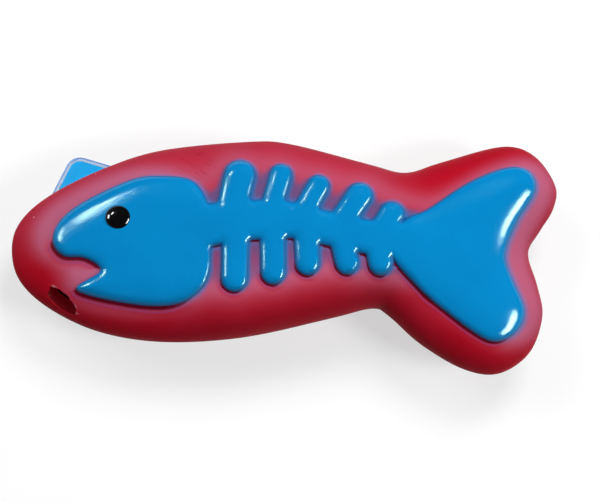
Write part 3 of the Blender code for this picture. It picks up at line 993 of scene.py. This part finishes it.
@dataclass
class SkeletonRelief:
    """One painted skeleton that swells out of the skin.

    Pairs of shoulders and shares go from the head to the tapered stretch towards the tail.
    """

    form: SkinForm
    flank: Flank
    node: str
    body: str
    name: str
    plate_top: float = 2.1 * MM
    rib_shoulder: Pair = (3.6 * MM, 2.6 * MM)
    rib_lee_shoulder: float = 1.5 * MM
    rib_crown: float = 6.5 * MM
    rib_share: float = 0.78
    plate_shoulder: Pair = (2.6 * MM, 1.3 * MM)
    plate_crown: float = 10.0 * MM
    plate_share: Pair = (0.55, 0.42)
    tapered: Pair = (5.0 * MM, 28.0 * MM)
    lee_facing: Pair = (0.2, -0.6)
    shaded_matte_rim: Pair = (0.9 * MM, 0.3 * MM)
    sunk: float = 1.4 * MM
    foot_below: float = 0.4
    top_above: float = 0.7
    seat_above: float = 0.3
    eye_seat: float = 4.4 * MM
    wall_slope: float = 0.3
    spacing: float = 0.4 * MM
    easing: int = 3
    voxel: float = 0.36 * MM
    rounding: int = 4

    def build(self, eye_centre: Vector) -> tuple[Piece, Outline]:
        """Model the relief.

        Args:
            eye_centre: Centre of the eye that sits on the head plate.

        Returns:
            The relief as a mesh object and its outline.
        """
        piece = copied_node(self.node, self.name)
        points = self.form.domed(read_points(piece))
        foot = self._over(points) < self.foot_below * self.plate_top
        outline = self._outline(piece, points, foot)
        self._lift(points, foot, -self.sunk)
        write_points(piece, points)
        apply_modifier(piece, "REMESH", mode="VOXEL", voxel_size=self.voxel)
        points = read_points(piece)
        over = self._over(points)
        depth, inward = outline.offset(points[:, :2])
        swell = self._swell(points[:, 0], depth, smoothstep(inward[:, 0], *self.lee_facing))
        by_eye = np.hypot(points[:, 0] - eye_centre.x, points[:, 1] - eye_centre.y) < self.eye_seat
        top = over > np.where(by_eye, self.seat_above, self.top_above) * self.plate_top
        lifted = top | (over > swell)
        self._lift(points, lifted, swell[lifted])
        write_points(piece, points)
        apply_modifier(piece, "SMOOTH", factor=0.5, iterations=self.rounding)
        # the rim gets painted shade and a matte finish
        write_masks(piece, rim=smoothstep(depth, *self.shaded_matte_rim))
        activate(piece)
        bpy.ops.object.shade_smooth()
        return piece, outline

    def dress(self, piece: Piece, paint: Material) -> None:
        """Hand the relief over with its paint."""
        hand_over(piece, self.body, "blue_paint", paint, self.node)

    def _outline(self, piece: Piece, points: np.ndarray, foot: np.ndarray) -> Outline:
        """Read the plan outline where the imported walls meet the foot.

        Args:
            piece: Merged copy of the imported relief.
            points: Its vertex positions.
            foot: Which of its vertices lie on the foot.

        Returns:
            The outline.
        """
        walls: dict[tuple[int, int], int] = {}
        for face in piece.data.polygons:
            for key in face.edge_keys if abs(face.normal.z) < self.wall_slope else ():
                walls[key] = walls.get(key, 0) + 1
        edges = [key for key, count in walls.items() if count == 1 and foot[list(key)].all()]
        return Outline.through(points, edges).evened(self.spacing, self.easing)

    def _swell(self, along: np.ndarray, depth: np.ndarray, lee: np.ndarray) -> np.ndarray:
        """Work out the height of the relief over the skin, from a tight round and a wide crown.

        Args:
            along: Place along the fish, which tells the ribs from the plates.
            depth: Distance inside the outline.
            lee: Share of the tight round on a rib's tail side.

        Returns:
            The height of each point.
        """
        back = smoothstep(along, *self.tapered)
        rib_edge = blended(blended(*self.rib_shoulder, back), self.rib_lee_shoulder, lee)
        rib = blended(arched(depth, self.rib_crown), arched(depth, rib_edge), self.rib_share)
        plate_edge = arched(depth, blended(*self.plate_shoulder, back))
        plate = blended(arched(depth, self.plate_crown), plate_edge, blended(*self.plate_share, back))
        return self.plate_top * blended(plate, rib, RIBS.share(along))

    def _over(self, points: np.ndarray) -> np.ndarray:
        """Return how far points stand over the smooth skin."""
        rise = self.flank.value * (points[:, 2] - self.form.mid_plane)
        return rise - self.form.height(points[:, :2])

    def _lift(self, points: np.ndarray, chosen: np.ndarray, over: float | np.ndarray) -> None:
        """Set the chosen points at a height over the smooth skin."""
        rise = self.form.height(points[chosen, :2]) + over
        points[chosen, 2] = self.form.mid_plane + self.flank.value * rise


@dataclass(frozen=True)
class SoftCopy:
    """Blurred and shifted copy of the relief, with the levels that count as none and as all."""

    reach: float
    shift: Pair
    levels: Pair


@dataclass(frozen=True)
class ShadowSide:
    """Painted shadow band on the side of the relief away from the key light, widest by the head."""

    way: Pair = (-0.5, -0.866)
    facing: Pair = (0.3, 0.85)
    width: Pair = (1.0 * MM, 0.65 * MM)
    tail_from: Pair = (36.0 * MM, 44.0 * MM)
    rib_share: float = 0.6

    def find(self, outline: Outline, plan: np.ndarray) -> tuple[np.ndarray, np.ndarray]:
        """Find how far points lie past the relief and how far the outline there faces away from the key light
        and the spray.

        Args:
            outline: Outline of the relief.
            plan: Rows of x and y.

        Returns:
            The distance past the outline in widths of the band, and the share of painted shadow from 0 to 1.
        """
        depth, inward = outline.offset(plan)
        width = blended(*self.width, smoothstep(plan[:, 0], *self.tail_from))
        width *= 1.0 - (1.0 - self.rib_share) * RIBS.share(plan[:, 0])
        return -depth / width, smoothstep(-inward @ np.array(self.way), *self.facing)


@dataclass(frozen=True)
class Mist:
    """Blue mist close round the relief, and darker mist in the gaps between its ribs that holds painted
    shade.
    """

    by_ribs: SoftCopy = SoftCopy(0.8 * MM, (0.3 * MM, -0.1 * MM), (0.06, 0.60))
    by_plates: SoftCopy = SoftCopy(1.3 * MM, (0.9 * MM, -0.2 * MM), (0.10, 0.85))
    share: float = 0.9
    # mist between the ribs, which holds painted shade
    gaps: SoftCopy = SoftCopy(2.6 * MM, (0.0, 0.0), (0.26, 0.46))
    gap_share: Pair = (0.48, 0.72)
    gap_rise: Pair = (-3.0 * MM, 3.0 * MM)


@dataclass(frozen=True)
class OversprayAndPaintedSheen:
    """Thin overspray that pales the vinyl, together with painted sheen: a ring past the ribs, a halo round
    the plates, and a painted sheen on the back, towards the top. The ring is weaker towards the belly as
    painted shade.
    """

    copy: SoftCopy = SoftCopy(4.2 * MM, (0.4 * MM, 0.5 * MM), (0.06, 0.58))
    head_draw: float = 0.925
    tail_draw: float = 0.93
    side_draw: float = 0.97
    softness: float = 4.0
    ring: Pair = (0.86, 0.52)
    ring_rise: Pair = (0.0, 12.0 * MM)
    ring_level: float = 0.38
    ring_spread: float = 0.28
    ring_loss: float = 0.12
    # painted shade: the ring fades towards the belly
    belly_painted_shade: float = 0.6
    belly_slope: float = 0.25
    belly_drop: Pair = (-17.0 * MM, -23.0 * MM)
    halo: Pair = (0.88, 0.82)
    halo_run: Pair = (40.0 * MM, 60.0 * MM)
    lee_loss: float = 0.65
    lee_run: Pair = (4.0, 1.5)
    # painted sheen: the back, towards the top, is paler
    back: float = 0.14
    back_rise: Pair = (-6.0 * MM, 14.0 * MM)
    back_run: Pair = (46.0 * MM, 24.0 * MM)

    def drawn(self, plan: np.ndarray) -> np.ndarray:
        """Return where points fall on the soft copy, which is drawn out past the relief."""
        along = np.where(plan[:, 0] > 0.0, self.tail_draw, self.head_draw)
        return np.stack((plan[:, 0] * along, plan[:, 1] * self.side_draw), 1)

    def lay(self, plan: np.ndarray, level: np.ndarray, past_rim: np.ndarray, lee: np.ndarray) -> np.ndarray:
        """Work out how pale the vinyl is, from overspray and painted sheen, with painted shade towards the
        belly.

        Args:
            plan: Rows of x and y.
            level: What the drawn soft copy holds at each row.
            past_rim: Distance past the relief in widths of the lee.
            lee: Shelter from the spray.

        Returns:
            One share per row.
        """
        x, y = plan.T
        ring = np.exp(-((level - self.ring_level) / self.ring_spread) ** 2)
        ring *= blended(*self.ring, smoothstep(y, *self.ring_rise))
        ring = np.maximum(ring - self.ring_loss, 0.0)
        # painted shade: less pale towards the belly
        ring *= 1.0 - self.belly_painted_shade * smoothstep(y - self.belly_slope * x, *self.belly_drop)
        halo = blended(*self.halo, smoothstep(x, *self.halo_run)) * smoothstep(level, *self.copy.levels)
        overspray_and_painted_sheen = blended(halo, ring, RIBS.share(x, self.softness))
        overspray_and_painted_sheen *= 1.0 - self.lee_loss * lee * smoothstep(past_rim, *self.lee_run)
        # painted sheen on the back, towards the top
        back = self.back * smoothstep(y, *self.back_rise) * smoothstep(x, *self.back_run)
        return overspray_and_painted_sheen + back * (1.0 - overspray_and_painted_sheen)


@dataclass
class PaintDrift:
    """Where sprayed paint drifts past the relief, and where shadow, shade and sheen are painted round it,
    read from soft copies of its outline.
    """

    outline: Outline
    lee: ShadowSide = ShadowSide()
    mist: Mist = Mist()
    overspray_and_painted_sheen: OversprayAndPaintedSheen = OversprayAndPaintedSheen()
    margin: float = 25.0 * MM

    def __post_init__(self) -> None:
        """Fill the plan inside the outline."""
        self.grid = PlanGrid(self.outline, self.margin)
        self.filled = (self.grid.depth > 0.0).astype(float)

    def masks(self, plan: np.ndarray) -> dict[str, np.ndarray]:
        """Work out the masks that the vinyl reads.

        Args:
            plan: Rows of x and y.

        Returns:
            One value per row for each mask.
        """
        ribbed = RIBS.share(plan[:, 0])
        past_rim, lee = self.lee.find(self.outline, plan)
        mist = blended(self._share(plan, self.mist.by_plates), self._share(plan, self.mist.by_ribs), ribbed)
        gaps = blended(*self.mist.gap_share, smoothstep(plan[:, 1], *self.mist.gap_rise))
        level = self._level(self.overspray_and_painted_sheen.drawn(plan), self.overspray_and_painted_sheen.copy)
        # lee and past_rim place the painted shadow band
        return {"past_rim": past_rim, "lee": lee, "mist": self.mist.share * mist,
                # mist between the ribs, with painted shade
                "between": ribbed * self._share(plan, self.mist.gaps) * gaps,
                # overspray with painted sheen and painted shade
                "overspray_and_painted_sheen": self.overspray_and_painted_sheen.lay(plan, level, past_rim, lee)}

    def _level(self, plan: np.ndarray, copy: SoftCopy) -> np.ndarray:
        """Return what a soft copy holds at some points."""
        return self.grid.read(self.grid.blurred(self.filled, copy.reach), plan - np.array(copy.shift))

    def _share(self, plan: np.ndarray, copy: SoftCopy) -> np.ndarray:
        """Return what a soft copy holds at some points, between its levels."""
        return smoothstep(self._level(plan, copy), *copy.levels)


@dataclass
class PortFrame:
    """Place of the trimmed air port under the chin.

    Its mouth is drawn within some reaches of the port, and some depths along its axis.
    """

    mouth: Vector
    across: Vector
    up: Vector
    out: Vector
    drawn_reach: Pair = (2.6, 1.3)
    drawn_depth: Pair = (-5.0 * MM, -2.5 * MM)
    drawn_front: float = 8.0 * MM

    @classmethod
    def from_squeaker(cls, mouth_reach: float = 12.6 * MM) -> "PortFrame":
        """Read the port's place from the squeaker behind it.

        Args:
            mouth_reach: Distance from the reed's hinge to the port's mouth.

        Returns:
            The port's frame.
        """
        hinge = next(joint for joint in frame["joints"] if joint["name"] == "reed_flutter")
        pivot, across = Vector(hinge["pos_m"]), Vector(hinge["axis"]).normalized()
        low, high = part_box("squeaker_housing")
        out = 0.5 * (Vector(low) + Vector(high)) - pivot
        out = (out - out.dot(across) * across).normalized()
        return cls(pivot + out * mouth_reach, across, out.cross(across), out)

    def matrix(self) -> Matrix:
        """Return the transform from the port's own axes to the fish's."""
        turned = Matrix((self.across, self.up, self.out)).transposed().to_4x4()
        turned.translation = self.mouth
        return turned

    def turned(self, angle: float) -> "PortFrame":
        """Return the frame turned about its axis by an angle in radians."""
        across = math.cos(angle) * self.across + math.sin(angle) * self.up
        up = math.cos(angle) * self.up - math.sin(angle) * self.across
        return PortFrame(self.mouth, across, up, self.out)

    def drawn(self, points: np.ndarray, lip: "PortFrame", half: Pair, narrow: float) -> np.ndarray:
        """Draw the port's mouth towards a turned and narrower lip.

        Args:
            points: Rows of x, y and z.
            lip: Frame of the lip.
            half: Half width and half height of the port.
            narrow: Share of the height that the lip keeps.

        Returns:
            The moved points.
        """
        reach, _ = self.reach(points, half)
        gap = points - np.array(self.mouth)
        wide, high, deep = (gap @ np.array(axis) for axis in (self.across, self.up, self.out))
        pull = smoothstep(reach, *self.drawn_reach) * smoothstep(deep, *self.drawn_depth)
        pull *= deep < self.drawn_front
        there = np.stack((wide, narrow * high, deep), 1) @ np.array((lip.across, lip.up, lip.out))
        return blended(points, there + np.array(lip.mouth), pull[:, None])

    def reach(self, points: np.ndarray, half: Pair) -> tuple[np.ndarray, np.ndarray]:
        """Place points round the port.

        Args:
            points: Rows of x, y and z.
            half: Half width and half height of the port.

        Returns:
            The distance from the port's axis, which is 1 at its lip, and the angle round it.
        """
        gap = points - np.array(self.mouth)
        wide, high = gap @ np.array(self.across) / half[0], gap @ np.array(self.up) / half[1]
        return np.hypot(wide, high), np.arctan2(high, wide)


@dataclass(frozen=True)
class Squeeze:
    """Press of the upper flank: its joint, its travel and the gripped height."""

    joint: str = "flank_squeeze"
    travel: float = 4.0 * MM
    gripped: float = 29.5 * MM

    def flatten(self, piece: Piece) -> None:
        """Give a finished piece a mesh of its own.

        Args:
            piece: Finished mesh object.
        """
        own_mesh(piece)


@dataclass
class FishSkin:
    """Hollow vinyl skin with its trimmed port."""

    form: SkinForm
    port: PortFrame
    squeeze: Squeeze = Squeeze()
    voxel: float = 0.78 * MM
    snap: float = 0.78 * MM
    crease: float = math.radians(40.0)
    port_half: Pair = (5.25 * MM, 2.75 * MM)
    port_round: float = 14.0 * MM
    lip_half: Pair = (5.5 * MM, 2.35 * MM)
    lip_turn: float = math.radians(-13.0)
    lip_narrow: float = 0.68
    inside_reach: float = 1.4
    far_reach: float = 9.0
    trim_steps: int = 120
    trim_length: float = 9.0 * MM
    trim_draft: float = 0.93
    trim_noise: float = 0.225 * MM
    trim_seed: int = 7
    trim_waves: tuple[int, ...] = (3, 5, 8, 13, 19, 27)
    trim_turn: float = 6.28
    trim_sizes: Pair = (0.4, 1.0)
    torn_glint_waves: tuple[Pair, ...] = ((3.0, 0.6), (7.0, 2.0))
    torn_glint_levels: Pair = (0.5, 1.3)
    scuff_centre: Pair = (-28.0 * MM, 26.5 * MM)
    scuff_reach: Pair = (9.0 * MM, 3.6 * MM)

    def __post_init__(self) -> None:
        """Place the trimmed lip."""
        self.lip = self.port.turned(self.lip_turn)

    def build(self) -> Piece:
        """Model the skin.

        Returns:
            The skin as a mesh object.
        """
        piece = copied_node("vinyl_body", "fish_skin")
        apply_modifier(piece, "REMESH", mode="VOXEL", voxel_size=self.voxel)
        points = self.port.drawn(read_points(piece), self.lip, self.port_half, self.lip_narrow)
        write_points(piece, self.form.settle(points, self.snap))
        cutter = self._trim_cutter()
        apply_modifier(piece, "BOOLEAN", operation="DIFFERENCE", object=cutter, solver="EXACT")
        bpy.data.objects.remove(cutter)
        activate(piece)
        bpy.ops.object.shade_smooth_by_angle(angle=self.crease)
        return piece

    def dress(self, piece: Piece, vinyl: Material, drift: PaintDrift) -> None:
        """Mark where paint drifted, where shadow, shade, sheen and glints are painted, and where the skin is
        worn, and hand it over.

        Args:
            piece: The skin.
            vinyl: Its vinyl.
            drift: Spread of the paint past the relief.
        """
        points = read_points(piece)
        plan = points[:, :2]
        from_scuff = np.hypot(*(plan - np.array(self.scuff_centre)).T)
        write_masks(piece, **drift.masks(plan), **self._port_masks(points),
                    scuff=smoothstep(from_scuff, *self.scuff_reach))
        hand_over(piece, "fish", "red_vinyl", vinyl, "vinyl_body")
        self.squeeze.flatten(piece)

    def _port_masks(self, points: np.ndarray) -> dict[str, np.ndarray]:
        """Mark the port's inside, which gets painted shade and a painted glow, and its ragged lip, which gets
        painted highlights.

        Args:
            points: Rows of x, y and z.

        Returns:
            The depth under the skin and the distance past the lip in millimetres, and where the lip gets
            painted highlights.
        """
        reach, angle = self.lip.reach(points, self.lip_half)
        beside = np.linalg.norm(points - np.array(self.port.mouth), axis=1) < self.port_round
        under = self.form.height(points[:, :2]) - np.abs(points[:, 2] - self.form.mid_plane)
        half_width, half_height = self.lip_half
        ragged = self._ragged(angle)
        lip = np.hypot(np.cos(angle) * (1.0 + ragged / half_width),
                       np.sin(angle) * (1.0 + ragged / half_height))
        # stretches of the lip that get the painted highlight
        torn_glint = sum(np.sin(waves * angle + phase) for waves, phase in self.torn_glint_waves)
        return {"under": np.where(beside & (reach < self.inside_reach), under / MM, 0.0),
                "past_lip": np.where(beside, reach - lip, self.far_reach) * half_height / MM,
                "torn_glint": smoothstep(torn_glint, *self.torn_glint_levels)}

    def _ragged(self, angle: np.ndarray) -> np.ndarray:
        """Work out how far the trimmed lip strays outward.

        Args:
            angle: Angles round the port.

        Returns:
            The stray at each angle.
        """
        chance = np.random.default_rng(self.trim_seed)
        ragged = np.zeros(len(angle))
        for waves in self.trim_waves:
            phase = chance.uniform(0.0, self.trim_turn)
            ragged += np.sin(waves * angle + phase) * chance.uniform(*self.trim_sizes) / waves ** 0.5
        return ragged * self.trim_noise

    def _trim_cutter(self) -> Piece:
        """Model the ragged plug that trims the port's lip.

        Returns:
            The cutter as a mesh object.
        """
        bpy.ops.object.select_all(action="DESELECT")
        bpy.ops.mesh.primitive_cylinder_add(vertices=self.trim_steps, radius=1.0, depth=self.trim_length)
        cutter = bpy.context.active_object
        points = read_points(cutter)
        angle = np.arctan2(points[:, 1], points[:, 0])
        ragged = self._ragged(angle)
        draft = np.where(points[:, 2] > 0.0, 1.0, self.trim_draft)
        points[:, 0] = np.cos(angle) * (self.lip_half[0] * draft + ragged)
        points[:, 1] = np.sin(angle) * (self.lip_half[1] * draft + ragged)
        write_points(cutter, points)
        cutter.data.transform(self.lip.matrix())
        return cutter


@dataclass
class Eye:
    """Domed eye on a head plate."""

    form: SkinForm
    flank: Flank
    node: str
    body: str
    name: str
    half: Pair = (3.75 * MM, 3.48 * MM)
    shift: Pair = (0.35 * MM, 0.35 * MM)
    waist: float = 0.3 * MM
    foot: float = 0.1 * MM
    fullness: float = 0.9
    crease: float = math.radians(50.0)
    steps: int = 64

    def centre(self) -> Vector:
        """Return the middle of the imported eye."""
        low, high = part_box(self.node)
        return 0.5 * (Vector(low) + Vector(high))

    def build(self) -> Piece:
        """Model the dome.

        Returns:
            The eye as a mesh object.
        """
        low, high = (Vector(corner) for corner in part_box(self.node))
        centre, sign = self.centre(), self.flank.value
        base = low.z if self.flank is Flank.UPPER else high.z
        bpy.ops.object.select_all(action="DESELECT")
        bpy.ops.mesh.primitive_uv_sphere_add(segments=self.steps, ring_count=self.steps // 2, radius=1.0)
        piece = bpy.context.active_object
        piece.name = self.name
        points = read_points(piece)
        points[:, 0] = centre.x + self.shift[0] + points[:, 0] * self.half[0]
        points[:, 1] = centre.y + self.shift[1] + points[:, 1] * self.half[1]
        upward = sign * points[:, 2]
        bulge = np.sign(upward) * np.abs(upward) ** self.fullness
        rise = self.waist + bulge * (high.z - low.z - self.waist)
        points[:, 2] = base + sign * np.maximum(rise, self.foot)
        write_points(piece, self.form.domed(points))
        with editing(piece):
            bpy.ops.mesh.remove_doubles(threshold=MERGE)
            bpy.ops.mesh.normals_make_consistent(inside=False)
        bpy.ops.object.shade_smooth_by_angle(angle=self.crease)
        return piece

    def dress(self, piece: Piece, enamel: Material) -> None:
        """Hand the eye over with its enamel."""
        hand_over(piece, self.body, "black_paint", enamel, self.node)


@dataclass
class Squeaker:
    """Reed squeaker in its pocket, seen through the port; its shell is coloured near-black red as painted
    shade.
    """

    shaded_shell: MouldedFinish
    film: MouldedFinish
    squeeze: Squeeze = Squeeze()
    crease: float = math.radians(30.0)

    def dress(self) -> None:
        """Give the pieces their plastics and hand them over to the bodies that carry them."""
        shaded_shell, film = self.shaded_shell.material(), self.film.material()
        for node, name in (("squeaker_housing", "squeaker_case"), ("squeaker_shallot", "reed_shallot"),
                           ("squeaker_wedge", "reed_wedge")):
            self._piece(node, name, "fish", "squeaker_plastic", shaded_shell)
        self._piece("squeaker_reed", "reed_tongue", "reed", "reed_film", film)

    def _piece(self, node: str, name: str, body: str, slot: str, plastic: Material) -> None:
        """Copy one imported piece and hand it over.

        Args:
            node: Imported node.
            name: Name of the piece.
            body: Body that carries it.
            slot: Material slot of the record.
            plastic: Its plastic.
        """
        piece = copied_node(node, name)
        bpy.ops.object.shade_smooth_by_angle(angle=self.crease)
        hand_over(piece, body, slot, plastic, node)
        self.squeeze.flatten(piece)


@dataclass
class SwingTag:
    """Printed tag on its nylon pin, lying under the head."""

    edge_bevel: float = 0.08 * MM
    flat: float = math.radians(1.0)
    corner: float = math.radians(60.0)
    crease: float = math.radians(30.0)

    def build_card(self) -> Piece:
        """Model the printed card.

        Returns:
            The card as a mesh object.
        """
        piece = self._plate("tag_card", "tag_print")
        height = read_points(piece)[:, 2]
        middle = 0.5 * (height.min() + height.max())
        half = height.max() - middle
        write_masks(piece, cut_edge=(np.abs(height - middle) < 0.5 * half).astype(float))
        return piece

    def build_margin(self) -> Piece:
        """Model the glossy margin.

        Returns:
            The margin as a mesh object.
        """
        piece = self._plate("tag_film", "tag_margin")
        card = read_points(frame["nodes"]["tag_card"])[:, :2]
        gap = np.array([np.min(np.hypot(*(card - point).T)) for point in read_points(piece)[:, :2]])
        write_masks(piece, across=smoothstep(gap, gap.min(), gap.max()))
        return piece

    def _plate(self, node: str, name: str) -> Piece:
        """Copy a flat node and round its edges.

        Args:
            node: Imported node.
            name: Name of the piece.

        Returns:
            The plate as a mesh object.
        """
        piece = copied_node(node, name)
        with editing(piece):
            bpy.ops.mesh.dissolve_limited(angle_limit=self.flat)
        apply_modifier(piece, "BEVEL", width=self.edge_bevel, segments=2, limit_method="ANGLE",
                       angle_limit=self.corner)
        bpy.ops.object.shade_smooth_by_angle(angle=self.crease)
        return piece


@dataclass(frozen=True)
class Lamp:
    """Soft rectangular light that faces the fish, from a way and a distance."""

    name: str
    way: tuple[float, float, float]
    distance: float
    size: Pair
    power: float
    use: LampUse

    def add(self) -> None:
        """Add the light to the scene."""
        data = bpy.data.lights.new(self.name, "AREA")
        data.shape = "RECTANGLE"
        data.size, data.size_y = self.size
        data.energy = self.power
        light = bpy.data.objects.new(self.name, data)
        light.visible_glossy = self.use is LampUse.GLINT
        light.visible_diffuse = self.use is LampUse.LEVEL
        bpy.context.scene.collection.objects.link(light)
        back = Vector(self.way).normalized()
        light.location = back * self.distance
        light.rotation_mode = "QUATERNION"
        light.rotation_quaternion = (-back).to_track_quat("-Z", "Y")


@dataclass
class Studio:
    """Camera, soft lights and a plain pale floor."""

    mid_plane: float
    fish_length: float = 165.0 * MM
    fish_pixels: float = 546.0
    frame_pixels: float = 600.0
    aim_pixels: Pair = (17.0, 7.0)
    aim_shift: float = 1.3 * MM
    distance: float = 0.5
    sensor: float = 36.0
    nearest: float = 0.01
    tilt: float = math.radians(8.0)
    lean: Pair = (-0.45, -0.893)
    lamps: tuple[Lamp, ...] = (
        Lamp("key", (0.24, 0.56, 0.79), 0.9, (0.30, 0.30), 4.4, LampUse.LEVEL),
        Lamp("left fill", (-0.557, 0.435, 0.707), 0.85, (0.50, 0.30), 3.2, LampUse.LEVEL),
        Lamp("right fill", (0.672, -0.218, 0.707), 0.85, (0.22, 0.22), 3.7, LampUse.LEVEL),
        Lamp("left window", (-0.517, 0.482, 0.707), 0.7, (0.11, 0.026), 1.7, LampUse.GLINT),
        Lamp("side window", (-0.802, 0.245, 0.545), 0.7, (0.20, 0.15), 3.6, LampUse.GLINT),
        Lamp("right window", (0.760, -0.307, 0.574), 0.7, (0.41, 0.19), 12.0, LampUse.GLINT),
    )
    sky: Colour = (0.9, 0.93, 1.0, 1.0)
    sky_strength: float = 0.07
    floor_size: float = 8.0
    floor_drop: float = 0.2 * MM
    floor_dark: Colour = (0.38, 0.38, 0.38, 1.0)
    floor_light: Colour = (0.40, 0.40, 0.40, 1.0)
    floor_white: float = 0.60

    def camera(self) -> None:
        """Place the camera at the photograph's angle."""
        scale = self.fish_length / self.fish_pixels
        side = math.sin(self.tilt)
        back = Vector((side * self.lean[0], side * self.lean[1], math.cos(self.tilt))).normalized()
        right = (Vector((1.0, 0.0, 0.0)) - back.x * back).normalized()
        up = back.cross(right)
        across, along = (pixels * scale for pixels in self.aim_pixels)
        target = Vector((across - self.aim_shift, along, self.mid_plane))
        data = bpy.data.cameras.new("camera")
        data.sensor_width = self.sensor
        data.lens = self.sensor * self.distance / scale / self.frame_pixels
        data.clip_start = self.nearest
        camera = bpy.data.objects.new("camera", data)
        bpy.context.scene.collection.objects.link(camera)
        place = Matrix((right, up, back)).transposed().to_4x4()
        place.translation = target + back * self.distance
        camera.matrix_world = place
        bpy.context.scene.camera = camera

    def lights(self) -> None:
        """Add the lights and the dim surroundings."""
        for lamp in self.lamps:
            lamp.add()
        world = bpy.data.worlds.new("surroundings")
        world.use_nodes = True
        background = world.node_tree.nodes["Background"]
        background.inputs["Color"].default_value = self.sky
        background.inputs["Strength"].default_value = self.sky_strength
        bpy.context.scene.world = world
        bpy.context.scene.view_settings.view_transform = "Standard"

    def floor(self) -> None:
        """Add the pale floor."""
        bpy.ops.object.select_all(action="DESELECT")
        bpy.ops.mesh.primitive_plane_add(size=self.floor_size, location=(0.0, 0.0, -self.floor_drop))
        floor = bpy.context.active_object
        floor.name = "floor"
        material, tree, shader = new_material("floor")
        clouds = wire(tree, "TexNoise", {"Scale": 3.0}).outputs[0]
        grey = mixed(tree, clouds, self.floor_dark, self.floor_light)
        tree.links.new(grey, shader.inputs["Base Color"])
        path = wire(tree, "LightPath")
        seen = maths(tree, "MAXIMUM", path.outputs["Is Camera Ray"], path.outputs["Is Glossy Ray"])
        seen = maths(tree, "MAXIMUM", seen, path.outputs["Is Transmission Ray"])
        tree.links.new(maths(tree, "MULTIPLY", seen, self.floor_white), shader.inputs["Emission Strength"])
        shader.inputs["Emission Color"].default_value = (1.0, 1.0, 1.0, 1.0)
        shader.inputs["Roughness"].default_value = 0.9
        shader.inputs["Specular IOR Level"].default_value = 0.0
        coat(floor, material)


def main() -> None:
    """Dress the fish and light it."""
    logging.basicConfig(level=logging.INFO, format="%(message)s")
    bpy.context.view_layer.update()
    grain, specks = grain_group(), speck_group()

    pattern = copied_node("vinyl_body", "pattern")
    form = SkinForm.from_skin(pattern)
    bpy.data.objects.remove(pattern)
    studio = Studio(form.mid_plane)
    studio.camera()

    enamel = EnamelFinish(grain, specks).material()
    paint = PaintFinish(grain, specks).material()
    for flank, side, body in ((Flank.LOWER, "back", "fish"), (Flank.UPPER, "front", "upper_flank")):
        eye = Eye(form, flank, f"eye_{side}", body, f"eye_dome_{side}")
        relief = SkeletonRelief(form, flank, f"skeleton_{side}", body, f"skeleton_relief_{side}")
        plate, outline = relief.build(eye.centre())
        relief.dress(plate, paint)
        eye.dress(eye.build(), enamel)

    skin = FishSkin(form, PortFrame.from_squeaker())
    vinyl = VinylFinish(grain, specks, hairline_group())
    skin.dress(skin.build(), vinyl.material(), PaintDrift(outline))

    # painted shade: the squeaker is near-black red so that it reads as the port's shaded inside
    shaded_shell = MouldedFinish(grain, "squeaker plastic in painted shade",
                          light=(0.050, 0.006, 0.007, 1.0), dark=(0.034, 0.004, 0.005, 1.0))
    film = MouldedFinish(grain, "reed film", light=(0.70, 0.62, 0.42, 1.0), dark=(0.62, 0.54, 0.35, 1.0),
                         roughness=(0.15, 0.25))
    Squeaker(shaded_shell, film).dress()

    tag = SwingTag()
    hand_over(tag.build_card(), "tag", "tag_print", PrintFinish(grain).material(), "tag_card")
    hand_over(tag.build_margin(), "tag", "tag_margin", MarginFinish(grain).material(), "tag_film")
    nylon = MouldedFinish(grain, "pin nylon", light=(0.80, 0.80, 0.78, 1.0), dark=(0.72, 0.72, 0.70, 1.0),
                          roughness=(0.22, 0.35))
    coat(frame["nodes"]["tag_pin"], nylon.material())

    studio.lights()
    studio.floor()


if __name__ == "__main__":
    main()
